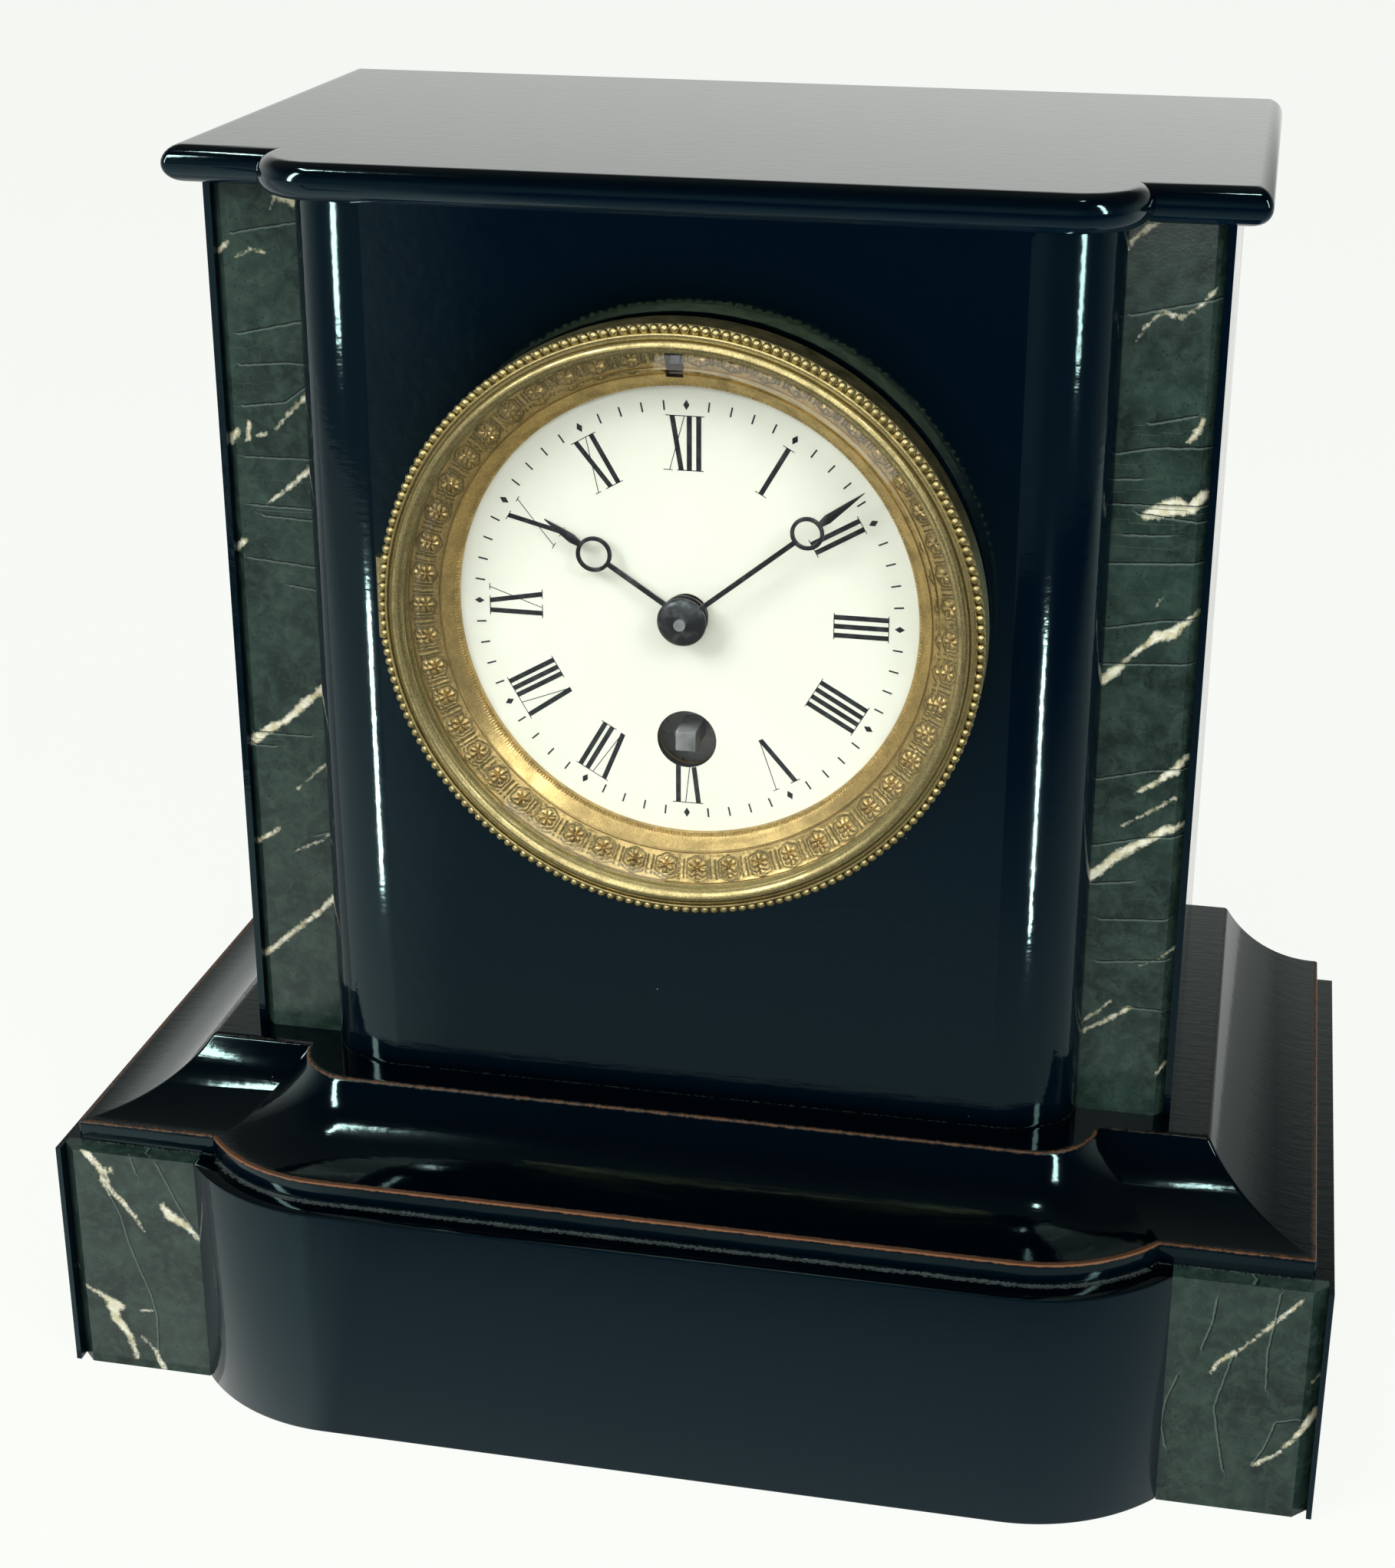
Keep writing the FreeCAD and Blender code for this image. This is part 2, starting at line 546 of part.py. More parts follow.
def knuckle(name, low, high, radius):
    """A length of the bezel's upright hinge, between two heights from the dial's centre."""
    return cylinder(name, "z", "-hinge_offset", hinge_y, "dial_height + (%s)" % low, radius,
                    "(%s) - (%s)" % (high, low))


fixed_span = [("middle_knuckle_half + knuckle_gap", "hinge_half_length"),
              ("-hinge_half_length", "-middle_knuckle_half - knuckle_gap")]
fixed_hinge = []
for number, (low, high) in enumerate(fixed_span):
    fixed_hinge.append(knuckle("fixed_knuckle_%d" % number, low, high, "knuckle_radius"))
    fixed_hinge.append(box("fixed_leaf_%d" % number, ("-hinge_offset", "2 * surround_flange - surround_radius"),
                           (flange_front, body_front), ("dial_height + (%s)" % low, "dial_height + (%s)" % high)))
cut("dial_surround", join("fuse", "surround_with_hinge", [doc.getObject("surround_ring")] + fixed_hinge),
    knuckle("fixed_pin_bore", "-hinge_half_length", "hinge_half_length", "hinge_pin_radius + seat_gap"))
bezel_hinge = join("fuse", "bezel_with_hinge", [
    bezel_ring, knuckle("bezel_knuckle", "-middle_knuckle_half", "middle_knuckle_half", "knuckle_radius"),
    box("bezel_leaf", ("-hinge_offset", "bead_radius - bezel_wall_radius"),
        (ahead("bezel_lift + tab_thickness"), ahead("bezel_lift")),
        ("dial_height - middle_knuckle_half", "dial_height + middle_knuckle_half"))])
cut("bezel", bezel_hinge, knuckle("bezel_pin_bore", "-hinge_half_length", "hinge_half_length",
                                  "hinge_pin_radius + running_gap"))

# Movement frame: two round brass plates on four pillars, pierced for every arbor


def hypot(across, up):
    """The distance between two arbors as a number."""
    return math.hypot(value(across), value(up))


pillar_spots = [("%spillar_across" % a, "%spillar_up" % b) for a in ("", "-") for b in ("", "-")]
tenon_holes = [("circle", a, b, "pillar_tenon_radius + seat_gap") for a, b in pillar_spots]
pivot_spots = [("-intermediate_across", "-intermediate_drop"), ("third_across", "third_up"), ("0", "escape_up")]
pivot_holes = [("circle", a, b, "pivot_radius + running_gap") for a, b in pivot_spots]

barrel_sizes = {
    "barrel_setback": 8.4, "barrel_length": 13.0, "barrel_rim": 2.2, "barrel_drum_radius": 14.0,
    "barrel_wall": 1.1, "barrel_end": 1.4, "barrel_core_radius": 4.0, "barrel_journal_radius": 2.0,
    "back_journal_radius": 1.6, "winding_square": 3.35, "winding_stand": 1.0, "ratchet_radius": 7.5,
    "ratchet_root_radius": 6.5, "ratchet_thickness": 1.2, "ratchet_gap": 0.4, "spring_thickness": 0.45,
    "spring_pitch": 1.35, "click_thickness": 1.2, "click_nose_gap": 0.25, "click_width": 2.6,
    "click_screw_radius": 0.9, "click_spring_thickness": 0.6,
}
enter("Barrel, ratchet and click", barrel_sizes)
plate("front_plate", [("circle", "0", "0", "plate_radius"), ("circle", "0", "0", "centre_hole_radius"),
                      ("circle", "0", "-barrel_drop", "barrel_journal_radius + running_gap"),
                      ("circle", "0", "anchor_up", "pivot_radius + running_gap")] + pivot_holes + tenon_holes,
      front_plate_front, front_plate_back, "0", bore_z)
plate("back_plate", [("circle", "0", "0", "plate_radius"), ("circle", "0", "0", "pivot_radius + running_gap"),
                     ("circle", "0", "-barrel_drop", "back_journal_radius + running_gap"),
                     ("circle", "0", "anchor_up", "anchor_hole_radius")] + pivot_holes + tenon_holes,
      back_plate_front, back_plate_back, "0", bore_z)


def pillar(number, across, up):
    """A turned pillar with a waist, a bead at its middle and a tenon through each plate."""
    middle = "(%s + pillar_length / 2)" % front_plate_back
    return turned("pillar_%d" % number, [
        ("0", "%s" % front_plate_front), ("pillar_tenon_radius", "%s" % front_plate_front),
        ("pillar_tenon_radius", front_plate_back), ("pillar_radius", front_plate_back),
        ("pillar_radius", "%s + pillar_radius" % front_plate_back),
        ("0.7 * pillar_radius", "%s + 1.6 * pillar_radius" % front_plate_back),
        ("0.7 * pillar_radius", "%s - pillar_radius" % middle), ("pillar_radius", middle),
        ("0.7 * pillar_radius", "%s + pillar_radius" % middle),
        ("0.7 * pillar_radius", "%s - 1.6 * pillar_radius" % back_plate_front),
        ("pillar_radius", "%s - pillar_radius" % back_plate_front), ("pillar_radius", back_plate_front),
        ("pillar_tenon_radius", back_plate_front), ("pillar_tenon_radius", back_plate_back),
        ("0", back_plate_back)], across, "dial_height + (%s)" % up)


join("group", "plate_pillars", [pillar(n, a, b) for n, (a, b) in enumerate(pillar_spots)])

# The train: great wheel on the barrel, intermediate, centre, third and escape wheels with their pinions

wheel_sizes = {
    "escape_radius": 8.6, "spoke_width": 1.3, "wheel_thickness": 1.3, "intermediate_wheel_level": 5.0,
    "intermediate_pinion_level": 7.9, "centre_pinion_level": 4.4, "centre_wheel_level": 2.0,
    "third_pinion_level": 1.4, "third_wheel_level": 12.0, "escape_pinion_level": 11.4,
    "escape_wheel_level": 17.0, "pinion_length": 2.6, "great_pinion_length": 3.2, "hub_radius": 2.2,
    "rim_width": 1.5,
}
enter("Wheels", wheel_sizes)
wheel_counts = {
    "barrel_teeth": 72, "intermediate_leaves": 12, "intermediate_teeth": 60, "centre_leaves": 12,
    "centre_teeth": 84, "third_leaves": 7, "third_teeth": 77, "escape_leaves": 7, "escape_teeth": 42,
    "cannon_leaves": 12, "minute_teeth": 36, "minute_leaves": 10, "hour_teeth": 40, "spokes": 5,
}
enter("Wheels, counts", wheel_counts)
tooth_shares = {"wheel": (1.1, 1.35, 0.24, 0.07), "pinion": (0.75, 1.5, 0.2, 0.09)}


def at(x, y, z):
    """A point measured from the dial's centre, in the frame of the whole clock."""
    return FreeCAD.Vector(x, y, z + value("dial_height"))


def polar(radius, angle):
    """A point on a circle in the plane of the dial: the angle is counter-clockwise from the right."""
    return FreeCAD.Vector(radius * math.cos(angle), 0, radius * math.sin(angle))


def tooth_ring(teeth, module, kind, phase):
    """The closed outline of a wheel or pinion with straight-sided teeth, one tooth centred at the phase."""
    addendum_share, dedendum_share, root_share, tip_share = tooth_shares[kind]
    radius, pitch = teeth * module / 2, 2 * math.pi / teeth
    root, tip = radius - dedendum_share * module, radius + addendum_share * module
    points = []
    for number in range(int(teeth)):
        middle = phase + number * pitch
        points += [polar(root, middle - root_share * pitch), polar(tip, middle - tip_share * pitch),
                   polar(tip, middle + tip_share * pitch), polar(root, middle + root_share * pitch)]
    return Part.makePolygon(points + points[:1])


def ring_wire(radius):
    """A circle in the plane of the dial."""
    return Part.Wire(Part.makeCircle(radius, FreeCAD.Vector(), FreeCAD.Vector(0, 1, 0)))


def windows(inner, outer, count, width):
    """The openings between the spokes of a wheel that has been crossed out."""
    wires = []
    for number in range(int(count)):
        start, end = 2 * math.pi * number / count, 2 * math.pi * (number + 1) / count
        near, far = math.asin(width / 2 / inner), math.asin(width / 2 / outer)
        middle = (start + end) / 2
        corners = [polar(inner, start + near), polar(inner, end - near), polar(outer, end - far),
                   polar(outer, start + far)]
        wires.append(Part.Wire([
            Part.Arc(corners[0], polar(inner, middle), corners[1]).toShape(),
            Part.makeLine(corners[1], corners[2]),
            Part.Arc(corners[2], polar(outer, middle), corners[3]).toShape(),
            Part.makeLine(corners[3], corners[0])]))
    return wires


def slab(wires, front, thickness):
    """A flat piece from its outline and holes, at a depth."""
    face = Part.makeFace(wires, "Part::FaceMakerBullseye")
    face.translate(FreeCAD.Vector(0, front, 0))
    return face.extrude(FreeCAD.Vector(0, thickness, 0))


def rod(radius, front, back):
    """A round length of an arbor between two depths."""
    return Part.makeCylinder(radius, back - front, FreeCAD.Vector(0, front, 0), FreeCAD.Vector(0, 1, 0))


def feature(name, shape, across=0.0, up=0.0):
    """A sub-part whose shape is worked out here, put on its own arbor."""
    piece = doc.addObject("Part::Feature", name)
    piece.Shape = shape
    piece.Placement = FreeCAD.Placement(at(across, 0, up), FreeCAD.Rotation())
    return piece


def mesh(driver, follower, driver_teeth, follower_teeth):
    """Module and tooth phases of a pair that meshes on the line between two arbors."""
    reach = follower[0] - driver[0], follower[1] - driver[1]
    module = 2 * math.hypot(*reach) / (value(driver_teeth) + value(follower_teeth))
    angle = math.atan2(reach[1], reach[0])
    return module, angle, angle + math.pi + math.pi / value(follower_teeth)


centre = (0.0, 0.0)
barrel_spot = (0.0, -value("barrel_drop"))
intermediate_spot = (-value("intermediate_across"), -value("intermediate_drop"))
third_spot = (value("third_across"), value("third_up"))
escape_spot = (0.0, value("escape_up"))
minute_spot = (value("minute_across"), value("minute_up"))
bed = value(front_plate_back)
plates = [value(f) for f in (front_plate_front, front_plate_back, back_plate_front, back_plate_back)]
tail, shake = value("plate_pin_tail"), value("end_shake")


def crossed_wheel(name, teeth, module, phase, level, spot, axle="arbor_radius"):
    """A brass wheel with spokes, riveted on its arbor."""
    pitch_radius = value(teeth) * module / 2
    rim = pitch_radius - tooth_shares["wheel"][1] * module - value("rim_width")
    wires = [tooth_ring(value(teeth), module, "wheel", phase), ring_wire(value(axle + " + seat_gap"))]
    wires += windows(value("hub_radius"), rim, value("spokes"), value("spoke_width"))
    return feature(name, slab(wires, bed + value(level), value("wheel_thickness")), *spot)


def arbor(name, leaves, module, phase, level, length, spot, axle="arbor_radius"):
    """A steel arbor with its pinion and a pivot at each end."""
    body = rod(value(axle), plates[1] + shake, plates[2] - shake)
    pivots = rod(value("pivot_radius"), plates[0] + tail, plates[3] - tail)
    pinion = slab([tooth_ring(value(leaves), module, "pinion", phase)], bed + value(level), value(length))
    return feature(name, body.fuse([pivots, pinion]).removeSplitter(), *spot)


great_module, great_phase, intermediate_pinion_phase = mesh(
    barrel_spot, intermediate_spot, "barrel_teeth", "intermediate_leaves")
second_module, intermediate_phase, centre_pinion_phase = mesh(
    intermediate_spot, centre, "intermediate_teeth", "centre_leaves")
centre_module, centre_phase, third_pinion_phase = mesh(centre, third_spot, "centre_teeth", "third_leaves")
third_module, third_phase, escape_pinion_phase = mesh(third_spot, escape_spot, "third_teeth", "escape_leaves")

crossed_wheel("intermediate_wheel", "intermediate_teeth", second_module, intermediate_phase,
              "intermediate_wheel_level", intermediate_spot)
arbor("intermediate_arbor", "intermediate_leaves", great_module, intermediate_pinion_phase,
      "intermediate_pinion_level", "great_pinion_length", intermediate_spot)
crossed_wheel("centre_wheel", "centre_teeth", centre_module, centre_phase, "centre_wheel_level", centre)
crossed_wheel("third_wheel", "third_teeth", third_module, third_phase, "third_wheel_level", third_spot,
              "fine_arbor_radius")
arbor("third_arbor", "third_leaves", centre_module, third_pinion_phase, "third_pinion_level", "pinion_length",
      third_spot, "fine_arbor_radius")
arbor("escape_arbor", "escape_leaves", third_module, escape_pinion_phase, "escape_pinion_level",
      "pinion_length", escape_spot, "fine_arbor_radius")


def escape_ring():
    """Pointed teeth that lean forward, with radial-looking backs, as an anchor escapement needs."""
    count, tip = int(value("escape_teeth")), value("escape_radius")
    root_share, lean_share = 0.86, 0.35
    points = []
    for number in range(count):
        angle = 2 * math.pi * number / count
        step = 2 * math.pi / count
        points += [polar(tip * root_share, angle - (1 - lean_share / 2) * step),
                   polar(tip * root_share, angle - lean_share * step), polar(tip, angle)]
    return Part.makePolygon(points + points[:1])


escape_rim = value("escape_radius") * 0.86 - value("rim_width") * 0.7
feature("escape_wheel", slab(
    [escape_ring(), ring_wire(value("fine_arbor_radius + seat_gap"))] + windows(
        value("hub_radius"), escape_rim, value("spokes"), value("spoke_width")),
    bed + value("escape_wheel_level"), value("wheel_thickness")), *escape_spot)

motion_sizes = {
    "centre_shoulder_radius": 1.55, "arbor_front": 5.7, "cannon_bore_gap": 0.05, "cannon_radius": 1.5,
    "cannon_level": 1.0, "cannon_leaf_length": 1.8, "minute_wheel_level": 1.1, "motion_thickness": 1.0,
    "hour_wheel_level": 3.2, "hour_pipe_radius": 2.5, "hour_pipe_bore_gap": 0.06, "stud_radius": 0.8,
}
enter("Centre arbor and motion work", motion_sizes)
arbor_tip = value(dial_front) - value("arbor_front")
centre_front = rod(value("arbor_radius"), arbor_tip, bed)
centre_body = rod(value("arbor_radius"), plates[0], plates[2] - shake).fuse([
    rod(value("centre_shoulder_radius"), plates[0], plates[1] + shake),
    rod(value("pivot_radius"), plates[2] - shake, plates[3] - tail), centre_front,
    slab([tooth_ring(value("centre_leaves"), second_module, "pinion", centre_pinion_phase)],
         bed + value("centre_pinion_level"), value("pinion_length"))])
feature("centre_arbor", centre_body.removeSplitter(), *centre)

# Barrel with its cap and spring, and the winding arbor through it

barrel_front = bed + value("barrel_setback")
barrel_back = barrel_front + value("barrel_length")
journal = value("barrel_journal_radius")
drum = value("barrel_drum_radius")
drum_inside = drum - value("barrel_wall")
rim_slab = slab([tooth_ring(value("barrel_teeth"), great_module, "wheel", great_phase),
                 ring_wire(drum_inside)], barrel_front, value("barrel_rim"))
shell = rod(drum, barrel_front, barrel_back).cut(rod(drum_inside, barrel_front + value("barrel_end"), barrel_back))
shell = shell.fuse(rim_slab).cut(rod(journal + value("running_gap"), barrel_front, barrel_back))
feature("barrel", shell.removeSplitter(), *barrel_spot)
cap_front = barrel_back - value("barrel_end")
feature("barrel_cap", rod(drum_inside - value("seat_gap"), cap_front, barrel_back).cut(
    rod(journal + value("running_gap"), cap_front, barrel_back)), *barrel_spot)


def winding_arbor():
    """The arbor: a square for the key, journals, and the core that the spring winds onto."""
    half = value("winding_square") / 2
    front = value(dial_front) - value("winding_stand")
    shaft = rod(journal, plates[0], barrel_back + shake)
    square = Part.makeBox(2 * half, plates[0] - front, 2 * half, FreeCAD.Vector(-half, front, -half))
    core = rod(value("barrel_core_radius"), barrel_front + value("barrel_end") + shake, cap_front - shake)
    pivot = rod(value("back_journal_radius"), barrel_back, plates[3] - tail)
    return shaft.fuse([square, core, pivot]).removeSplitter()


feature("winding_arbor", winding_arbor(), *barrel_spot)


def spiral_spring():
    """The mainspring as half turns, each struck from one of two centres, that open out by one pitch a turn."""
    thickness, pitch = value("spring_thickness"), value("spring_pitch")
    start = value("barrel_core_radius") + 2 * value("spring_thickness")
    half_turns = int((drum_inside - start - pitch) / (pitch / 2))
    inner, outer = [], []
    for number in range(half_turns):
        radius = start + number * pitch / 2
        shift = 0 if number % 2 == 0 else pitch / 2
        side = 1 if number % 2 == 0 else -1
        for wires, grow in ((inner, 0), (outer, thickness)):
            reach = radius + grow
            begin = FreeCAD.Vector(shift + side * reach, 0, 0)
            top = FreeCAD.Vector(shift, 0, side * reach)
            finish = FreeCAD.Vector(shift - side * reach, 0, 0)
            wires.append(Part.Arc(begin, top, finish).toShape())
    ends = [Part.makeLine(inner[0].Vertexes[0].Point, outer[0].Vertexes[0].Point),
            Part.makeLine(inner[-1].Vertexes[-1].Point, outer[-1].Vertexes[-1].Point)]
    outline = Part.Wire(Part.__sortEdges__(inner + outer + ends))
    depth = value("barrel_length") - 2 * value("barrel_end") - 4 * shake
    return slab([outline], barrel_front + value("barrel_end") + 2 * shake, depth)


feature("mainspring", spiral_spring(), *barrel_spot)


def ratchet_ring():
    """Saw teeth that let the arbor turn clockwise and catch it the other way."""
    count, tip, root = 20, value("ratchet_radius"), value("ratchet_root_radius")
    points = []
    for number in range(count):
        angle = 2 * math.pi * number / count
        points += [polar(tip, angle), polar(root, angle - 0.06)]
    return Part.makePolygon(points + points[:1])


ratchet_back = plates[0] - value("ratchet_gap")
half_square = value("winding_square / 2 + seat_gap")
square_hole = Part.makePolygon([FreeCAD.Vector(a * half_square, 0, b * half_square)
                                for a, b in ((1, 1), (-1, 1), (-1, -1), (1, -1), (1, 1))])
feature("ratchet_wheel", slab([ratchet_ring(), square_hole], ratchet_back - value("ratchet_thickness"),
                              value("ratchet_thickness")), *barrel_spot)

# Click, its spring and the screws that fix what stands on the plates

click_spot = (value("click_across"), value("click_up") - value("barrel_drop"))
click_front = ratchet_back - value("click_thickness")


def click_outline():
    """A pawl from its pivot to a nose that stands just clear of the ratchet's tips."""
    reach = math.hypot(value("click_across"), value("click_up"))
    toward = math.atan2(-value("click_up"), -value("click_across"))
    span = math.sqrt(reach ** 2 - value("ratchet_radius") ** 2)
    width = value("click_width") / 2
    swing = toward + math.acos(span / reach) + 0.12
    nose = polar(span + value("click_nose_gap"), swing)
    side = polar(width, swing + math.pi / 2)
    back = polar(width, swing + math.pi)
    ring = Part.makePolygon([side, nose + side * 0.5, nose - side * 0.2, -side, back - side * 0.6,
                             back + side * 0.6, side])
    return [ring, ring_wire(value("click_screw_radius + running_gap"))]


feature("click", slab(click_outline(), click_front, value("click_thickness")), *click_spot)

# Hands-driving work under the dial: cannon pinion, minute wheel on its stud, and hour wheel

cannon_module, cannon_phase, minute_phase = mesh(centre, minute_spot, "cannon_leaves", "minute_teeth")
hour_module, hour_phase, minute_pinion_phase = mesh(centre, minute_spot, "hour_teeth", "minute_leaves")
cannon_bore = value("arbor_radius + cannon_bore_gap")

hand_sizes = {
    "hand_thickness": 0.5, "hour_hand_level": 1.6, "minute_hand_level": 3.5, "boss_radius": 4.05,
    "hour_boss_radius": 3.9, "boss_depth": 1.1, "hour_ring_place": 17.9, "hour_ring_radius": 2.97,
    "hour_tip": 27.7, "minute_ring_place": 26.0, "minute_ring_radius": 2.73, "minute_tip": 37.6,
    "ring_metal": 0.65, "stem_width": 0.82, "tip_width": 1.5,
}
enter("Hands", hand_sizes)
hand_angles_deg = {
    "hour_angle": 303.4, "minute_angle": 51.3,
}
enter("Hands, angles in degrees", hand_angles_deg)
cannon_back = plates[0] - value("cannon_level") + shake
minute_hand_back = value(dial_front) - value("minute_hand_level")
cannon = rod(value("cannon_radius"), minute_hand_back - value("hand_thickness"), cannon_back).fuse(
    slab([tooth_ring(value("cannon_leaves"), cannon_module, "pinion", cannon_phase)],
         cannon_back - value("cannon_leaf_length"), value("cannon_leaf_length")))
feature("cannon_pinion", cannon.cut(rod(cannon_bore, minute_hand_back - value("hand_thickness"),
                                        cannon_back)).removeSplitter(), *centre)
minute_back = plates[0] - value("minute_wheel_level")
minute_front = minute_back - value("motion_thickness")
hour_back = plates[0] - value("hour_wheel_level")
hour_front = hour_back - value("motion_thickness")
stud_bore = value("stud_radius + running_gap")
minute_wheel = slab([tooth_ring(value("minute_teeth"), cannon_module, "wheel", minute_phase)],
                    minute_front, value("motion_thickness"))
minute_pinion = slab([tooth_ring(value("minute_leaves"), hour_module, "pinion", minute_pinion_phase)],
                     hour_front - shake, minute_front - hour_front + 2 * shake)
feature("minute_wheel", minute_wheel.fuse(minute_pinion).cut(
    rod(stud_bore, hour_front - 1, minute_back + 1)).removeSplitter(), *minute_spot)
hour_hand_back = value(dial_front) - value("hour_hand_level")
hour_bore = value("cannon_radius + hour_pipe_bore_gap")
hour_wheel = slab([tooth_ring(value("hour_teeth"), hour_module, "wheel", hour_phase)], hour_front,
                  value("motion_thickness")).fuse(rod(value("hour_pipe_radius"), hour_hand_back
                                                      - value("hand_thickness"), hour_back))
feature("hour_wheel", hour_wheel.cut(rod(hour_bore, hour_hand_back - 1, hour_back + 1)).removeSplitter(), *centre)


def hand(name, level, ring_place, ring_radius, tip, boss, bore, angle, dome):
    """A steel hand with an open ring near its tip, drawn pointing up and then turned to its hour."""
    back = "(%s - %s)" % (dial_front, level)
    front = "(%s - hand_thickness)" % back
    body = doc.addObject("PartDesign::Body", name)
    plate(name + "_ring", [("circle", "0", ring_place, ring_radius),
                           ("circle", "0", ring_place, "%s - ring_metal" % ring_radius)], front, back, body=body)
    root = "((%s) + %s) / 2" % (bore, boss)
    plate(name + "_stem", [[("-stem_width / 2", root), ("stem_width / 2", root),
                            ("stem_width / 2", "%s - %s + ring_metal / 2" % (ring_place, ring_radius)),
                            ("-stem_width / 2", "%s - %s + ring_metal / 2" % (ring_place, ring_radius))]],
          front, back, body=body)
    ring_top = "%s + %s - ring_metal / 2" % (ring_place, ring_radius)
    plate(name + "_tip", [[("-stem_width / 2", ring_top), ("stem_width / 2", ring_top),
                           ("tip_width / 2", "%s + tip_width" % ring_top), ("0.07 * tip_width", tip),
                           ("-0.07 * tip_width", tip), ("-tip_width / 2", "%s + tip_width" % ring_top)]],
          front, back, body=body)
    section = [(bore, back), (boss, back), (boss, front)]
    if dome:
        section += [("0.8 * %s" % boss, "%s - 0.7 * boss_depth" % front), (bore, "%s - boss_depth" % front)]
    else:
        section += [(bore, front)]
    turned(name + "_boss", section, body=body)
    body.Placement = FreeCAD.Placement(FreeCAD.Vector(), FreeCAD.Rotation(FreeCAD.Vector(0, 1, 0), value(angle)))
    place(body, "0", bore_z)
    return body


hand("hour_hand", "hour_hand_level", "hour_ring_place", "hour_ring_radius", "hour_tip", "hour_boss_radius",
     "hour_pipe_radius + seat_gap", "hour_angle", False)
hand("minute_hand", "minute_hand_level", "minute_ring_place", "minute_ring_radius", "minute_tip",
     "boss_radius", "cannon_radius + seat_gap", "minute_angle", True)

# Escapement: anchor on its arbor with the crutch behind the back plate

escapement_sizes = {
    "pallet_gap": 0.5, "anchor_width": 1.8, "anchor_hub_radius": 2.1, "anchor_level": 16.8,
    "anchor_thickness": 1.6, "cock_gap": 3.6, "cock_thickness": 1.6, "cock_half_width": 12.5,
    "cock_top": 46.0, "cock_foot_across": 10.0, "cock_foot_up": 34.5, "cock_foot_radius": 2.4,
    "cock_screw_radius": 1.1, "crutch_gap": 1.2, "crutch_thickness": 1.2, "crutch_width": 2.4,
    "crutch_length": 22.0, "fork_wall": 1.0, "fork_play": 0.12, "rod_plane": 13.0, "rod_width": 3.0,
    "rod_thickness": 1.4,
}
enter("Escapement and back cock", escapement_sizes)
escapement_angles_deg = {
    "pallet_angle": 46,
}
enter("Escapement and back cock, angles in degrees", escapement_angles_deg)
pallet_inner = "(escape_radius + pallet_gap)"
pallet_outer = "(escape_radius + pallet_gap + anchor_width)"
anchor_front = "(%s + anchor_level)" % front_plate_back
anchor_back = "(%s + anchor_thickness)" % anchor_front
anchor = plate("anchor", [[
    ("-%s * sin(pallet_angle)" % pallet_inner, "escape_up + %s * cos(pallet_angle)" % pallet_inner),
    ("-%s * sin(pallet_angle + 4)" % pallet_outer, "escape_up + %s * cos(pallet_angle + 4)" % pallet_outer),
    ("arc", pallet_outer, -1),
    ("%s * sin(pallet_angle + 4)" % pallet_outer, "escape_up + %s * cos(pallet_angle + 4)" % pallet_outer),
    ("%s * sin(pallet_angle)" % pallet_inner, "escape_up + %s * cos(pallet_angle)" % pallet_inner),
    ("arc", pallet_inner, 1)]], anchor_front, anchor_back)
plate("anchor_hub", [("circle", "0", "anchor_up", "anchor_hub_radius")], anchor_front, anchor_back, body=anchor)
anchor_bore = anchor.newObject("PartDesign::Pocket", "anchor_bore")
anchor_bore.Profile = draw(anchor, "anchor_bore_outline", "XZ", "-(%s)" % anchor_back, [
    ("circle", "0", "anchor_up", "arbor_radius + seat_gap")])
anchor_bore.Reversed = True
anchor_bore.setExpression("Length", link("anchor_thickness"))
place(anchor, "0", bore_z)
cock_front = "(%s + cock_gap)" % back_plate_back
cock_back = "(%s + cock_thickness)" % cock_front
turned("anchor_arbor", [
    ("0", "%s + plate_pin_tail" % front_plate_front), ("pivot_radius", "%s + plate_pin_tail" % front_plate_front),
    ("pivot_radius", "%s + end_shake" % front_plate_back), ("arbor_radius", "%s + end_shake" % front_plate_back),
    ("arbor_radius", "%s - end_shake" % cock_front), ("pivot_radius", "%s - end_shake" % cock_front),
    ("pivot_radius", "%s - plate_pin_tail" % cock_back), ("0", "%s - plate_pin_tail" % cock_back)],
    "0", "dial_height + anchor_up")
crutch_front = "(%s + crutch_gap)" % back_plate_back
crutch_back = "(%s + crutch_thickness)" % crutch_front
rod_middle = "(%s + rod_plane)" % back_plate_back
fork_half = "(rod_width / 2 + fork_play)"
fork_top = "(dial_height + anchor_up - crutch_length + crutch_width)"
fork_bottom = "(dial_height + anchor_up - crutch_length)"
crutch_arm = join("fuse", "crutch_arm", [
    cylinder("crutch_hub", "y", "0", crutch_front, "dial_height + anchor_up", "anchor_hub_radius",
             "crutch_thickness"),
    box("crutch_stem", ("-crutch_width / 2", "crutch_width / 2"), (crutch_front, crutch_back),
        (fork_bottom, "dial_height + anchor_up")),
    box("crutch_foot", ("-%s - fork_wall" % fork_half, "%s + fork_wall" % fork_half),
        (crutch_front, crutch_back), (fork_bottom, fork_top)),
    box("fork_right", (fork_half, "%s + fork_wall" % fork_half),
        (crutch_front, "%s + rod_thickness" % rod_middle), (fork_bottom, fork_top)),
    box("fork_left", ("-%s - fork_wall" % fork_half, "-%s" % fork_half),
        (crutch_front, "%s + rod_thickness" % rod_middle), (fork_bottom, fork_top))])
cut("crutch", crutch_arm, cylinder("crutch_bore", "y", "0", crutch_front, "dial_height + anchor_up",
                                   "arbor_radius + seat_gap", "crutch_thickness"))

# Back cock: carries the anchor's back pivot and, on its shelf, the suspension and its regulator

